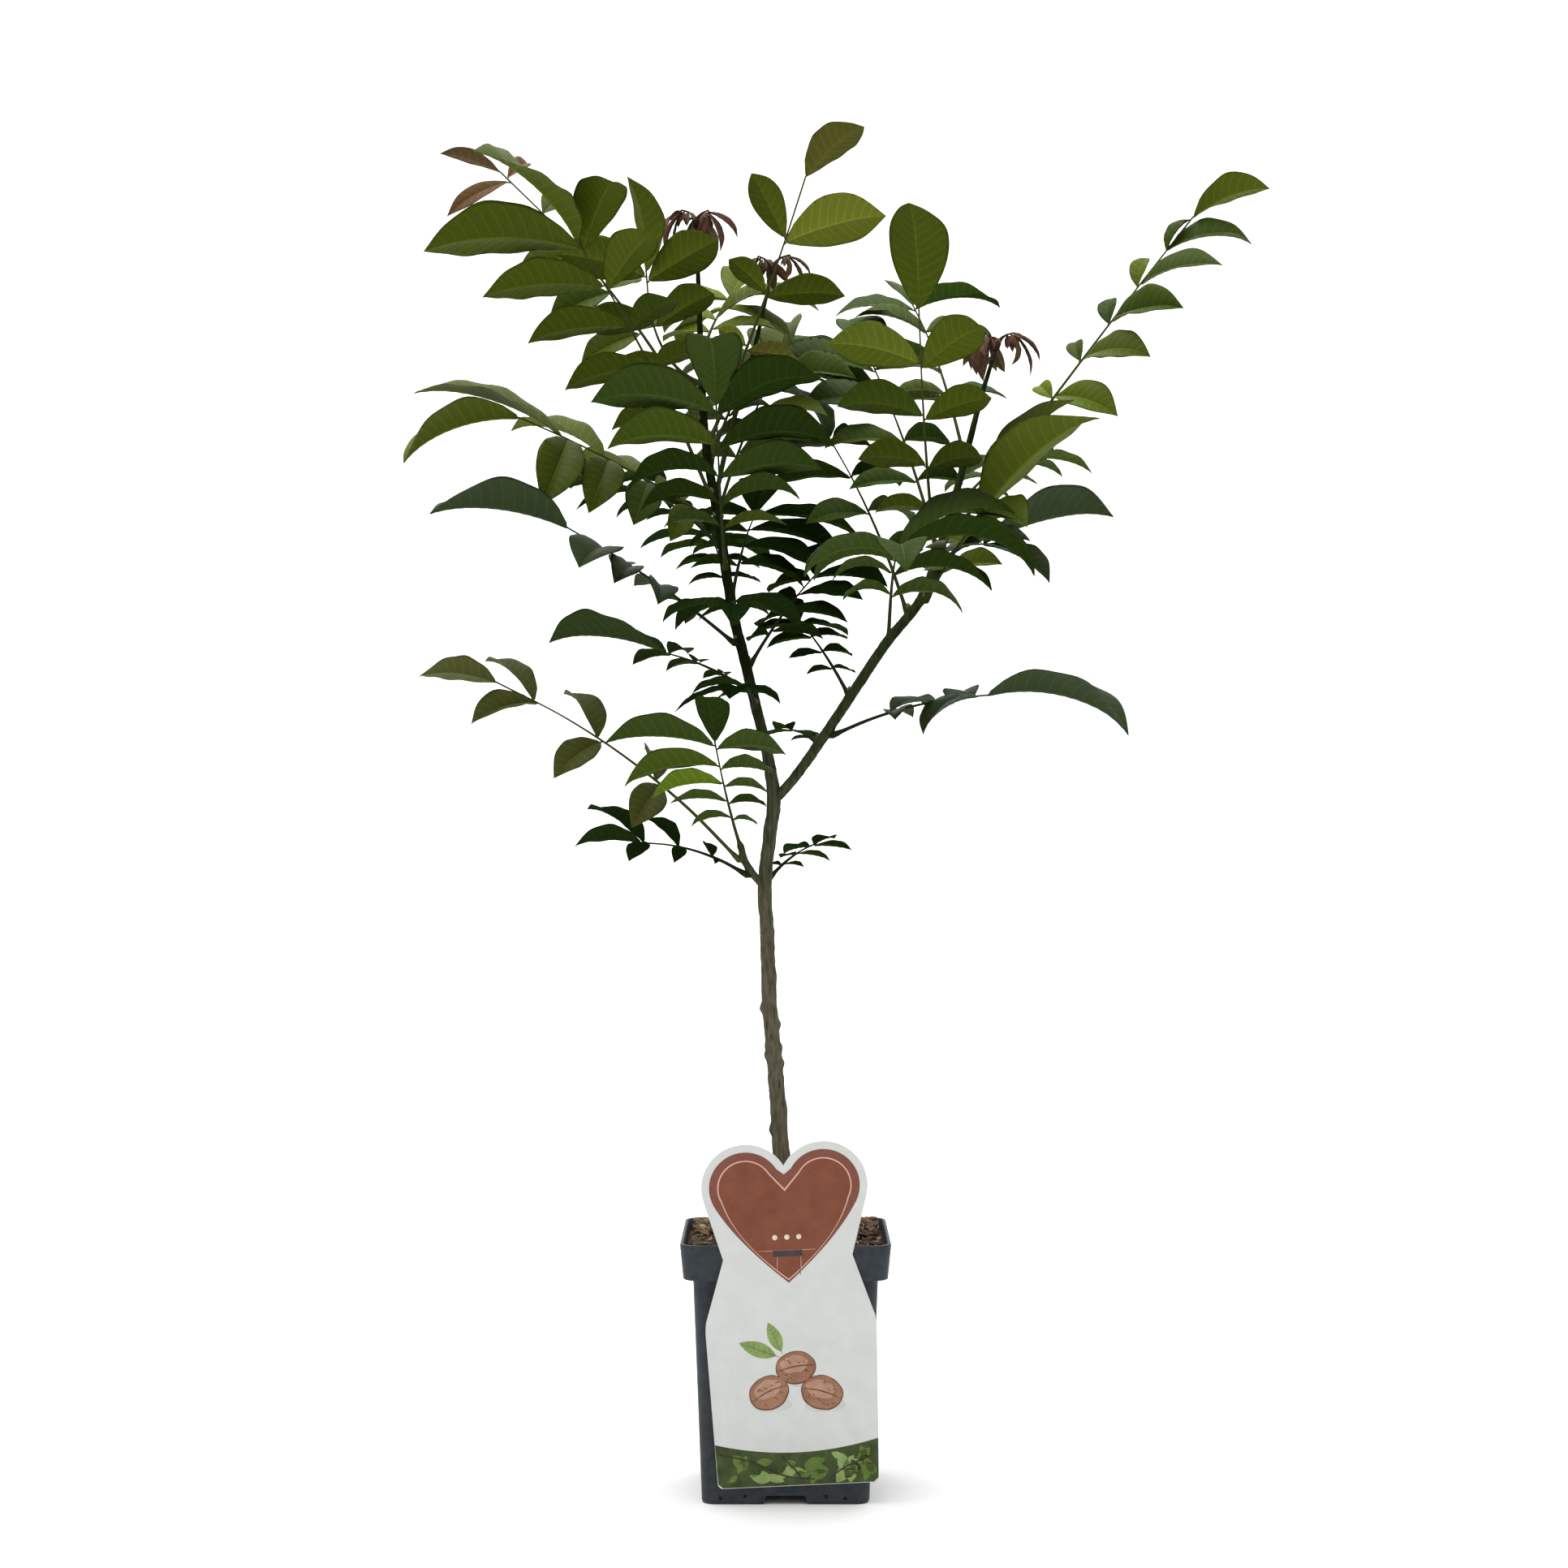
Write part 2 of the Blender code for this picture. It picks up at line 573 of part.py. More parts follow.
def square_ring(half, height, sink=0.0):
    """Square with rounded corners at a height, drawn in by sink."""
    corner = half * CORNER_SHARE
    points = []
    for quarter in range(4):
        middle = math.pi / 4 + quarter * math.pi / 2
        centre_x = math.copysign(half - corner, math.cos(middle))
        centre_y = math.copysign(half - corner, math.sin(middle))
        for step in range(CORNER_STEPS + 1):
            angle = quarter * math.pi / 2 + step / CORNER_STEPS * math.pi / 2
            reach = corner - sink
            x = centre_x + reach * math.cos(angle)
            y = centre_y + reach * math.sin(angle)
            points.append(Vector((x, y, height)))
    return points


def pot(collection, slot):
    profile = (
        (FOOT_HALF - 0.0015, 0.0),
        (FOOT_HALF, 0.0015),
        (BODY_HALF, SKIRT_FOOT),
        (SKIRT_HALF, SKIRT_FOOT),
        (RIM_HALF, POT_TOP - 0.001),
        (RIM_HALF - 0.001, POT_TOP),
        (RIM_INNER_HALF, POT_TOP),
        (SHELF_HALF, SHELF_TOP),
        (WALL_TOP_HALF, WALL_TOP),
        (WALL_FOOT_HALF, FLOOR_TOP),
    )
    points = [point for half, height in profile for point in square_ring(half, height)]
    sides = len(points) // len(profile)
    faces = ring_faces(len(profile), sides)
    faces.append(tuple(range(sides)))
    faces.append(tuple(range(len(points) - sides, len(points))))
    made = body_of("pot", points, faces, collection)
    cutters = [channel(quarter, collection) for quarter in range(4)]
    return finish(boolean(made, cutters, "DIFFERENCE"), slot)


def channel(quarter, collection):
    """Drain channel cut under the floor, open at one side of the pot."""
    turn = Matrix.Rotation(quarter * math.pi / 2, 3, "Z")
    points = []
    for reach in (CHANNEL_END, RIM_HALF):
        for across, height in (
            (-CHANNEL_HALF, -0.002),
            (CHANNEL_HALF, -0.002),
            (CHANNEL_ROOF_HALF, CHANNEL_HEIGHT),
            (-CHANNEL_ROOF_HALF, CHANNEL_HEIGHT),
        ):
            points.append(turn @ Vector((across, -reach, height)))
    faces = [*ring_faces(2, 4), (0, 1, 2, 3), (4, 5, 6, 7)]
    return body_of(f"channel_{quarter}", points, faces, collection)


def soil(collection, slot):
    chance = random.Random(SOIL_SEED)
    share = (SOIL_TOP - SHELF_TOP) / (POT_TOP - SHELF_TOP)
    top_half = SHELF_HALF + (RIM_INNER_HALF - SHELF_HALF) * share
    profile = (
        (WALL_FOOT_HALF, FLOOR_TOP + GAP),
        (WALL_TOP_HALF, WALL_TOP),
        (SHELF_HALF, SHELF_TOP),
        (top_half, SOIL_TOP - 0.001),
        (top_half * 0.75, SOIL_TOP - 0.001),
        (top_half * 0.45, SOIL_TOP - 0.0005),
        (top_half * 0.2, SOIL_TOP),
    )
    points = []
    for index, (half, height) in enumerate(profile):
        for point in square_ring(half - GAP * 1.5, height):
            lift = chance.uniform(-0.0012, 0.0006) if index in (4, 5) else 0.0
            points.append(point + UP * lift)
    sides = len(points) // len(profile)
    faces = ring_faces(len(profile), sides)
    faces.append(tuple(range(sides)))
    faces.append(tuple(range(len(points) - sides, len(points))))
    return finish(body_of("soil", points, faces, collection), slot)


def card_outline():
    """Half outline of the card from its foot to the notch of the heart, then mirrored."""
    half = [
        (CARD_FOOT_HALF - CARD_FOOT_CORNER, 0.0),
        (CARD_FOOT_HALF - CARD_FOOT_CORNER * 0.3, CARD_FOOT_CORNER * 0.3),
        (CARD_FOOT_HALF, CARD_FOOT_CORNER),
        (CARD_WIDE_HALF - 0.0003, CARD_WIDE_UP - 0.006),
        (CARD_WIDE_HALF, CARD_WIDE_UP),
        (CARD_WIDE_HALF - 0.001, CARD_WIDE_UP + 0.006),
        (CARD_WAIST_HALF, CARD_WAIST_UP),
    ]
    notch = math.pi - math.acos(LOBE_OUT / LOBE_RADIUS)
    start = math.radians(-15)
    for step in range(LOBE_STEPS + 1):
        angle = start + (notch - start) * step / LOBE_STEPS
        half.append((LOBE_OUT + LOBE_RADIUS * math.cos(angle), LOBE_UP + LOBE_RADIUS * math.sin(angle)))
    half[-1] = (0.0, half[-1][1])
    return half + [(-across, up) for across, up in reversed(half[:-1])]


def card_matrix():
    """From the face of the card to the world: across, up and out of the back."""
    turn = Matrix.Rotation(CARD_LEAN, 4, "X") @ Matrix.Rotation(CARD_TURN, 4, "Y")
    stand = Matrix(((1, 0, 0, 0), (0, 0, 1, 0), (0, 1, 0, 0), (0, 0, 0, 1)))
    return Matrix.Translation(CARD_FOOT) @ turn @ stand


def box_body(name, low, high, collection):
    points = [Vector((x, y, z)) for z in (low[2], high[2]) for x, y in (
        (low[0], low[1]), (high[0], low[1]), (high[0], high[1]), (low[0], high[1])
    )]
    return body_of(name, points, [*ring_faces(2, 4), (0, 1, 2, 3), (4, 5, 6, 7)], collection)


def card(collection, slot):
    outline = card_outline()
    place = card_matrix()
    points = [place @ Vector((across, up, depth)) for depth in (-CARD_THICK, 0.0) for across, up in outline]
    count = len(outline)
    faces = [*ring_faces(2, count), tuple(range(count)), tuple(range(count, 2 * count))]
    made = body_of("plant_card", points, faces, collection)
    strap_foot = POT_TOP + GAP
    strap = box_body(
        "strap",
        (-TONGUE_HALF, -0.0792, strap_foot),
        (TONGUE_HALF, -TONGUE_BACK, strap_foot + CARD_THICK),
        collection,
    )
    flap = box_body(
        "flap",
        (-TONGUE_HALF * 0.96, -TONGUE_BACK - CARD_THICK, TONGUE_FOOT),
        (TONGUE_HALF * 0.96, -TONGUE_BACK - 0.00005, strap_foot + CARD_THICK * 0.5),
        collection,
    )
    return finish(boolean(made, [strap, flap], "UNION"), slot)


def limb_body(name, limb, trunk, collection, slot):
    made = body_of(name, *tube_shape(limb, LIMB_SIDES), collection)
    if name != "trunk":
        cutter = body_of("cutter", *tube_shape(trunk, LIMB_SIDES, GAP), collection)
        boolean(made, [cutter], "DIFFERENCE")
    return finish(made, slot)


def mass_body(mass, collection, slot):
    """One closed body of the stalks and leaflets of a mass."""
    made = body_of(mass.name, *tube_shape(mass.tubes[0], STALK_SIDES), collection)
    others = []
    for tube in mass.tubes[1:]:
        others.append(body_of("frond", *tube_shape(tube, STALK_SIDES), collection))
    for blade in mass.blades:
        others.append(body_of("blade", *blade_shape(blade), collection))
    return finish(boolean(made, others, "UNION"), slot)


def main():
    for old in list(bpy.data.objects):
        bpy.data.objects.remove(old)
    collection = bpy.data.collections.new("walnut_tree")
    bpy.context.scene.collection.children.link(collection)
    leaf_slots = {tint: material(f"{tint}_leaf", colour, 0.5) for tint, colour in TINTS.items()}
    bark = material("bark", BARK, 0.7)
    green_bark = material("green_bark", GREEN_BARK, 0.6)
    pot(collection, material("pot_plastic", POT_GREY, 0.45))
    soil(collection, material("potting_bark", SOIL_BROWN, 0.9))
    card(collection, material("card_print", CARD_WHITE, 0.4))
    limbs, masses = plan_masses()
    for name, limb in limbs.items():
        limb_body(name, limb, limbs["trunk"], collection, bark if name == "trunk" else green_bark)
    for mass in masses:
        mass_body(mass, collection, leaf_slots[mass.tint])


main()
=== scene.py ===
"""Looks of the young walnut tree in its nursery pot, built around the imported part.

Metres, +Z up. The leaves follow the same rows and the same seeded rule as the solids.
"""

import math
import random
from collections import namedtuple

import bmesh
import bpy
import numpy as np
from mathutils import Matrix, Quaternion, Vector, noise
from mathutils.bvhtree import BVHTree
from mathutils.geometry import tessellate_polygon


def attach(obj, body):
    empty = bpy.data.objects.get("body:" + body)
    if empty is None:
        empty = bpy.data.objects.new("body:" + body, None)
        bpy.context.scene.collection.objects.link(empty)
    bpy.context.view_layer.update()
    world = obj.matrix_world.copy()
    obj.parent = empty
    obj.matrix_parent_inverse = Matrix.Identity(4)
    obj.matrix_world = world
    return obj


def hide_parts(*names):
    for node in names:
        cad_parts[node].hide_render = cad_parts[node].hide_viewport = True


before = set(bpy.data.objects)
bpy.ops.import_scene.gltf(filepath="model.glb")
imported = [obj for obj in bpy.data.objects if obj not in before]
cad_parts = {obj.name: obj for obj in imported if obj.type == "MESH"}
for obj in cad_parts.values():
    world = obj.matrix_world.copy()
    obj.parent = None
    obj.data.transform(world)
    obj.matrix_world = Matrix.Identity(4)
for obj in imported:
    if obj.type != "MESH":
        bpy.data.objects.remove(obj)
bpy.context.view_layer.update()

UP = Vector((0.0, 0.0, 1.0))
GAP = 0.0003

# Pot: half widths of a square with rounded corners at heights above the ground
POT_TOP = 0.193
RIM_HALF = 0.078
SKIRT_HALF = 0.0757
SKIRT_FOOT = 0.1665
BODY_HALF = 0.0687
FOOT_HALF = 0.0622
RIM_INNER_HALF = 0.0755
SHELF_HALF = 0.0738
SHELF_TOP = 0.1695
WALL_TOP_HALF = 0.0667
WALL_TOP = 0.1655
WALL_FOOT_HALF = 0.0602
FLOOR_TOP = 0.009
CORNER_SHARE = 0.17
CHANNEL_HALF = 0.017
CHANNEL_ROOF_HALF = 0.0145
CHANNEL_HEIGHT = 0.006
CHANNEL_END = 0.022

# Soil
SOIL_TOP = 0.185
SOIL_SEED = 11

# Plant card: sizes across and up its own face
CARD_THICK = 0.001
CARD_FOOT = Vector((0.0096, -0.0645, 0.0145))
CARD_LEAN = math.radians(4.5)
CARD_TURN = math.radians(-2.7)
CARD_FOOT_HALF = 0.0595
CARD_FOOT_CORNER = 0.004
CARD_WIDE_HALF = 0.0632
CARD_WIDE_UP = 0.119
CARD_WAIST_HALF = 0.0475
CARD_WAIST_UP = 0.171
LOBE_OUT = 0.0285
LOBE_UP = 0.2235
LOBE_RADIUS = 0.0325
LOBE_START = -15
LOBE_STEPS = 36
CARD_STEPS = 6
CARD_WIDE_BEND = ((0.0003, -0.006), (0.0, 0.0), (0.001, 0.006))

# Limbs: x, y, z and diameter at knots a smooth curve runs through
LIMBS = {
    "trunk": (
        (-0.001, 0.000, SOIL_TOP + GAP, 0.0150),
        (-0.001, 0.000, 0.205, 0.0128),
        (-0.004, 0.000, 0.260, 0.0124),
        (-0.007, 0.000, 0.305, 0.0118),
        (-0.012, 0.001, 0.363, 0.0112),
        (-0.014, 0.001, 0.419, 0.0106),
        (-0.016, 0.001, 0.455, 0.0104),
        (-0.012, 0.001, 0.493, 0.0100),
        (-0.009, 0.000, 0.522, 0.0106),
        (-0.015, 0.001, 0.560, 0.0084),
        (-0.028, 0.003, 0.613, 0.0080),
        (-0.041, 0.005, 0.668, 0.0078),
        (-0.050, 0.008, 0.727, 0.0074),
        (-0.061, 0.012, 0.794, 0.0064),
        (-0.065, 0.016, 0.870, 0.0048),
        (-0.068, 0.020, 0.952, 0.0028),
    ),
    "right_bough": (
        (-0.010, 0.000, 0.518, 0.0076),
        (0.010, -0.004, 0.541, 0.0078),
        (0.041, -0.009, 0.586, 0.0078),
        (0.075, -0.013, 0.637, 0.0078),
        (0.100, -0.015, 0.668, 0.0074),
        (0.112, -0.016, 0.696, 0.0070),
        (0.130, -0.017, 0.757, 0.0056),
        (0.146, -0.018, 0.819, 0.0042),
        (0.156, -0.018, 0.852, 0.0028),
    ),
    "centre_shoot": (
        (-0.053, 0.010, 0.752, 0.0040),
        (-0.043, 0.030, 0.800, 0.0038),
        (-0.026, 0.040, 0.860, 0.0034),
        (-0.012, 0.042, 0.920, 0.0026),
    ),
    "low_spur": (
        (-0.015, 0.001, 0.452, 0.0056),
        (-0.024, -0.002, 0.463, 0.0056),
        (-0.031, -0.003, 0.474, 0.0054),
        (-0.034, -0.003, 0.486, 0.0040),
    ),
}
LIMB_STEPS = 2
LIMB_SIDES = 8

# Compound leaves. foot is the height on the limb and end the end of the midstalk. left, right and top
# are the longest leaflets seen from the foot and the one at the end. Angles are in degrees: tilt lowers
# the left hand side, sweep turns the last pair forward, dip lowers and droop bends every leaflet. A pair
# of sweeps, dips or droops is for the left and the right hand. nod lowers the end leaflet and roll turns
# it about its own length.
Leaf = namedtuple(
    "Leaf",
    "name limb foot end pairs left right top tint arch tilt sweep dip droop first last small nod roll",
    defaults=(0.004, 0, 35, 8, 40, 0.34, 0.97, 0.5, 0, 0),
)
LEAVES = (
    Leaf("leaf_upper_left_front", "trunk", 0.751, (-0.150, -0.13, 0.922), 5, 0.082, 0.116, 0.118, "upper",
         0.008, tilt=-26, sweep=(48, 46), dip=(8, 12), droop=(34, 34), small=0.44, nod=9),
    Leaf("leaf_centre_front", "trunk", 0.696, (-0.049, -0.17, 0.799), 5, 0.102, 0.100, 0.084, "middle",
         -0.012, sweep=24, dip=-4, droop=60),
    Leaf("leaf_middle_left", "trunk", 0.733, (-0.197, -0.06, 0.803), 4, 0.086, 0.118, 0.106, "upper",
         0.004, tilt=28, sweep=(14, 66), dip=(22, 8), droop=44, first=0.16, last=0.78, small=0.5, nod=34),
    Leaf("leaf_bough_front", "right_bough", 0.701, (0.096, -0.12, 0.875), 4, 0.066, 0.074, 0.086, "upper",
         -0.014, sweep=(32, 18), dip=(-2, 4), droop=55, first=0.22, last=0.80, small=0.65),
    Leaf("leaf_far_right", "right_bough", 0.717, (0.309, 0.00, 0.962), 5, 0.034, 0.070, 0.066, "upper",
         0.002, tilt=-34, sweep=(80, 58), dip=-2, droop=45, first=0.44, last=0.90, small=0.9, nod=22),
    Leaf("leaf_top_centre", "trunk", 0.794, (0.015, -0.04, 0.985), 3, 0.086, 0.060, 0.064, "upper",
         -0.003, tilt=42, sweep=(44, 42), dip=(2, -2), droop=36, first=0.36, last=0.77, nod=29, roll=-62),
    Leaf("leaf_left_long", "trunk", 0.640, (-0.160, -0.08, 0.720), 4, 0.074, 0.046, 0.120, "lower",
         0.004, tilt=14, sweep=(38, -20), dip=(14, 4), droop=(34, 36), last=0.80, nod=16),
    Leaf("leaf_low_long", "low_spur", 0.476, (-0.213, -0.07, 0.607), 3, 0.062, 0.066, 0.063, "upper",
         0.012, tilt=35, sweep=(50, 44), dip=(16, -6), droop=45, first=0.38, last=0.86, small=0.85, nod=16),
    Leaf("leaf_low_right_long", "right_bough", 0.572, (0.150, -0.05, 0.598), 3, 0.056, 0.064, 0.120, "lower",
         0.006, tilt=-10, sweep=-36, dip=2, droop=(56, 40), first=0.42, last=0.94, small=0.6, nod=9),
    Leaf("leaf_right_front", "right_bough", 0.672, (0.146, -0.05, 0.734), 3, 0.112, 0.084, 0.124, "middle",
         0.002, tilt=-12, sweep=(52, 40), dip=(-6, 4), droop=(34, 30), nod=8),
    Leaf("leaf_right", "right_bough", 0.690, (0.150, 0.00, 0.714), 3, 0.070, 0.070, 0.116, "lower",
         0.008, tilt=-14, sweep=35, droop=(26, 40), nod=-14),
    Leaf("leaf_bough_low_front", "right_bough", 0.640, (0.080, -0.15, 0.695), 4, 0.120, 0.080, 0.074,
         "middle", 0.018, sweep=10, dip=-8, droop=75),
    Leaf("leaf_top_left_back", "trunk", 0.807, (-0.220, 0.04, 1.004), 5, 0.062, 0.052, 0.052, "upper",
         0.010, tilt=45, sweep=20, dip=12, droop=35, small=0.9, nod=22),
    Leaf("leaf_left_low", "trunk", 0.606, (-0.092, 0.04, 0.633), 3, 0.042, 0.044, 0.112, "lower",
         0.003, tilt=10, sweep=30, droop=30, dip=5, nod=2),
    Leaf("leaf_low_short", "low_spur", 0.466, (-0.108, -0.03, 0.488), 3, 0.036, 0.066, 0.054, "lower",
         0.006, tilt=25, sweep=48, dip=-4, droop=30, small=0.4),
    Leaf("leaf_low_front", "low_spur", 0.484, (-0.051, -0.12, 0.562), 5, 0.056, 0.086, 0.052, "middle",
         -0.004, sweep=12, dip=6, droop=40, nod=-10, small=0.4),
    Leaf("leaf_low_back", "trunk", 0.461, (0.022, 0.06, 0.485), 3, 0.032, 0.034, 0.034, "lower",
         0.003, droop=20),
    Leaf("leaf_fork_front", "trunk", 0.590, (-0.034, -0.09, 0.603), 3, 0.035, 0.056, 0.045, "lower",
         0.008, droop=35),
    Leaf("leaf_middle_front", "trunk", 0.654, (-0.037, -0.14, 0.658), 4, 0.060, 0.062, 0.052, "lower",
         0.010, droop=40),
    Leaf("leaf_centre_back", "trunk", 0.674, (-0.024, 0.10, 0.745), 4, 0.070, 0.096, 0.084, "lower",
         0.006, sweep=15, droop=40, small=0.6),
    Leaf("leaf_top_left_light", "trunk", 0.837, (-0.104, -0.04, 0.914), 3, 0.068, 0.070, 0.074, "upper",
         -0.020, tilt=-20, sweep=25, dip=5, small=0.8),
    Leaf("leaf_bough_left_back", "right_bough", 0.660, (0.034, 0.06, 0.801), 4, 0.076, 0.080, 0.072,
         "middle", 0.006, tilt=10, sweep=15, dip=12, small=0.6),
    Leaf("leaf_bough_low_back", "right_bough", 0.598, (0.011, 0.08, 0.660), 4, 0.045, 0.050, 0.048, "lower",
         0.003, sweep=20, dip=12, droop=22),
    Leaf("leaf_middle_right_back", "trunk", 0.622, (0.023, 0.07, 0.695), 4, 0.054, 0.070, 0.060, "lower",
         0.003, sweep=20, dip=12, droop=25, small=0.6),
    Leaf("leaf_fork_small", "right_bough", 0.562, (0.005, 0.05, 0.574), 2, 0.030, 0.036, 0.036, "lower",
         0.002, droop=30),
    Leaf("leaf_bough_back", "right_bough", 0.709, (0.069, 0.10, 0.863), 4, 0.092, 0.080, 0.074, "middle",
         0.006, sweep=20, small=0.6),
    Leaf("leaf_upper_back_right", "trunk", 0.742, (-0.005, 0.10, 0.863), 4, 0.080, 0.092, 0.078, "middle",
         0.006, sweep=20, small=0.7),
    Leaf("leaf_top_back_light", "trunk", 0.862, (-0.043, 0.08, 0.914), 4, 0.070, 0.072, 0.068, "upper",
         0.004, sweep=25, small=0.7),
    Leaf("leaf_back_low", "trunk", 0.664, (-0.062, 0.17, 0.735), 4, 0.060, 0.064, 0.066, "lower",
         0.008),
    Leaf("leaf_back_left", "trunk", 0.714, (-0.140, 0.16, 0.775), 4, 0.064, 0.068, 0.074, "lower",
         0.010, dip=12),
    Leaf("leaf_back_high", "trunk", 0.776, (-0.020, 0.19, 0.880), 4, 0.084, 0.084, 0.080, "middle",
         0.010, small=0.7),
    Leaf("leaf_back_right", "right_bough", 0.730, (0.190, 0.17, 0.795), 4, 0.064, 0.064, 0.070, "middle",
         0.010),
    Leaf("leaf_back_right_high", "right_bough", 0.778, (0.104, 0.18, 0.922), 4, 0.072, 0.084, 0.072,
         "middle", 0.010, dip=2, small=0.65),
)
FIRST_SWEEP = 12
START_RISE = 0.30
STALK_FOOT_RADIUS = 0.0016
STALK_END_RADIUS = 0.0009
STALK_RINGS = 5
STALK_SIDES = 4
PAIR_OFFSET = 0.003

# Young shoots at the limb tips: limb, reach of a frond, its leaflet length and the first heading
Shoot = namedtuple("Shoot", "name limb reach blade heading")
SHOOTS = (
    Shoot("young_tip_left", "trunk", 0.012, 0.036, 200),
    Shoot("young_tip_centre", "centre_shoot", 0.014, 0.028, 340),
    Shoot("young_tip_right", "right_bough", 0.014, 0.036, 350),
)
SHOOT_FRONDS = 3
SHOOT_STEM = 0.010
SHOOT_RADIUS = 0.0011
SHOOT_FROND = Leaf("frond", "", 0, (), 1, 0, 0, 0, "young", sweep=30, dip=55, droop=50, first=0.9, nod=72)

# Leaflets
BLADE_RATIO = 0.54
BLADE_THICK_SHARE = 0.012
BLADE_THICK = 0.0004
BLADE_FOLD = math.radians(30)
BLADE_FULL = 1.07
STATIONS = (0.10, 0.35, 0.70)
SHORT_BLADE = 0.045
SHORT_STATIONS = (0.16, 0.58)
ROOM = 0.0009
SHRINKS = (1.0, 0.85, 0.7)
PITCHES = (0.0, 0.2, -0.2, 0.4, -0.4)
YAWS = (0.0, 0.25, -0.25)

Tube = namedtuple("Tube", "points radii")
Blade = namedtuple("Blade", "root along normal length width droop fold")
Mass = namedtuple("Mass", "name tint tubes blades")

# Looks whose colour and relief follow one noise: its scale and stretch, and the relief's strength and height
Look = namedtuple(
    "Look", "roughness scale strength distance stretch specular", defaults=((1.0, 1.0, 1.0), 0.3)
)
NOISE_DETAIL = 4.0
NOISE_ROUGH = 0.6
SHARP_ANGLE = math.radians(40)

# Bark: rings of a limb, its grain, and the sides and the roughness of each limb
LIMB_FINE_STEPS = 24
LIMB_EVERY = 0.0014
LIMB_TIP = 0.8
BARK_LIMBS = (
    ("trunk", 32, 0.11),
    ("right_bough", 24, 0.08),
    ("centre_shoot", 12, 0.04),
    ("low_spur", 16, 0.08),
)
BARK_STRETCH = 0.22
BARK_GRAIN = 420.0
BARK_FRACTAL = (0.9, 2.0, 4)
NODE_SWELL_SIZE = 0.0042
NODE_SWELL = 0.0011

# Marks on the trunk: height, angle from the front towards the right, size and rise
TRUNK_SCARS = (
    (0.500, -35, 0.0050, 0.0012),
    (0.452, 20, 0.0060, 0.0009),
    (0.416, 12, 0.0034, 0.0022),
    (0.385, 80, 0.0060, 0.0011),
    (0.362, -75, 0.0036, 0.0022),
    (0.350, 75, 0.0036, 0.0020),
    (0.334, -20, 0.0044, 0.0016),
    (0.331, 60, 0.0040, 0.0016),
    (0.326, -60, 0.0034, 0.0022),
    (0.321, 80, 0.0032, 0.0019),
    (0.305, 5, 0.0034, 0.0024),
    (0.286, 70, 0.0055, 0.0012),
    (0.270, -80, 0.0040, 0.0022),
    (0.250, 60, 0.0060, 0.0011),
    (0.236, 30, 0.0045, 0.0014),
)
TRUNK_PITS = ((0.416, 12, 0.0013, -0.0016), (0.305, 5, 0.0014, -0.0018), (0.334, -20, 0.0013, -0.0009))

# Rings around the trunk: height, half height and rise
TRUNK_RINGS = ((0.333, 0.0022, 0.0006), (0.309, 0.0020, 0.0005), (0.420, 0.0018, 0.0004))

# Colours of the bark over height, and of its streaks. On the trunk the stops at 0.70 and 0.98 are near black:
# painted shade on the upper trunk and leader, not the colour of its bark.
BARK_STOPS = (
    (0.24, (0.112, 0.094, 0.068)),
    (0.46, (0.112, 0.102, 0.068)),
    (0.60, (0.060, 0.066, 0.036)),
    (0.70, (0.007, 0.012, 0.003)),
    (0.98, (0.008, 0.014, 0.003)),
)
GREEN_BARK_STOPS = (
    (0.52, (0.062, 0.070, 0.040)),
    (0.68, (0.030, 0.042, 0.016)),
    (0.88, (0.022, 0.034, 0.009)),
)
BARK_COLOUR = (0.083, 0.077, 0.048)
BARK_ROUGH = 0.85
BARK_SHINE = 0.02
BARK_CLOUD = 60.0
BARK_CLOUD_STRETCH = (1.0, 1.0, 0.35)
BARK_DRIFT = 0.16
STREAKS = 420.0
STREAK_DETAIL = 6.0
STREAK_STRETCH = (1.0, 1.0, 0.16)
STREAK_STOPS = ((0.30, (0.42, 0.40, 0.38)), (0.50, (0.95, 0.95, 0.93)), (0.70, (1.55, 1.50, 1.42)))
STREAK_SHARE = 0.9
STREAK_STRENGTH = 0.55
STREAK_DEPTH = 0.0008

# Buds: lean over the leaf, and height, setback and length in radii
BUD_RADIUS = 0.0021
BUD_SMALL = 0.7
BUD_BACK = 0.001
BUD_LEAN = 0.45
BUD_UP = 1.9
BUD_IN = 0.5
BUD_LONG = 3.0
BUD_STEPS = 6
BUD_SIDES = 10
BUD_LOOK = Look(0.55, 900.0, 0.3, 0.0003)
BUD_STOPS = ((0.35, (0.060, 0.070, 0.020)), (0.65, (0.100, 0.086, 0.034)))

# Pot looks: steps and radii of its edges, and its drain holes across and up each side
POT_CORNER_STEPS = 10
FOOT_ROUND = 0.0015
FOOT_STEPS = 3
RIM_ROUND = 0.0011
RIM_STEPS = 5
SKIRT_ROUND = 0.0007
SKIRT_FILLET = ((-0.0002, -0.001), (0.0004, -0.0002))
RIM_BREAK_IN = 0.0004
RIM_BREAK_DOWN = 0.0006
CHANNEL_START = -0.002
POT_LOOK = Look(0.5, 130.0, 0.12, 0.0005, specular=0.14)
POT_STOPS = ((0.35, (0.028, 0.034, 0.039)), (0.55, (0.035, 0.042, 0.048)), (0.75, (0.043, 0.051, 0.057)))
POT_HOLES = ((-0.048, 0.0042), (-0.030, 0.0058), (0.030, 0.0058), (0.044, 0.0042))
POT_HOLE_RADIUS = 0.0013
POT_HOLE_SIDES = 14
POT_HOLE_DEPTHS = (0.001, -0.0001)
# The drain holes are dark plugs: their colour is painted shade inside the holes.
POT_HOLE_LOOK = Look(0.8, 400.0, 0.1, 0.0002, specular=0.05)
POT_HOLE_SHADE_STOPS = ((0.3, (0.008, 0.009, 0.010)), (0.7, (0.014, 0.016, 0.018)))

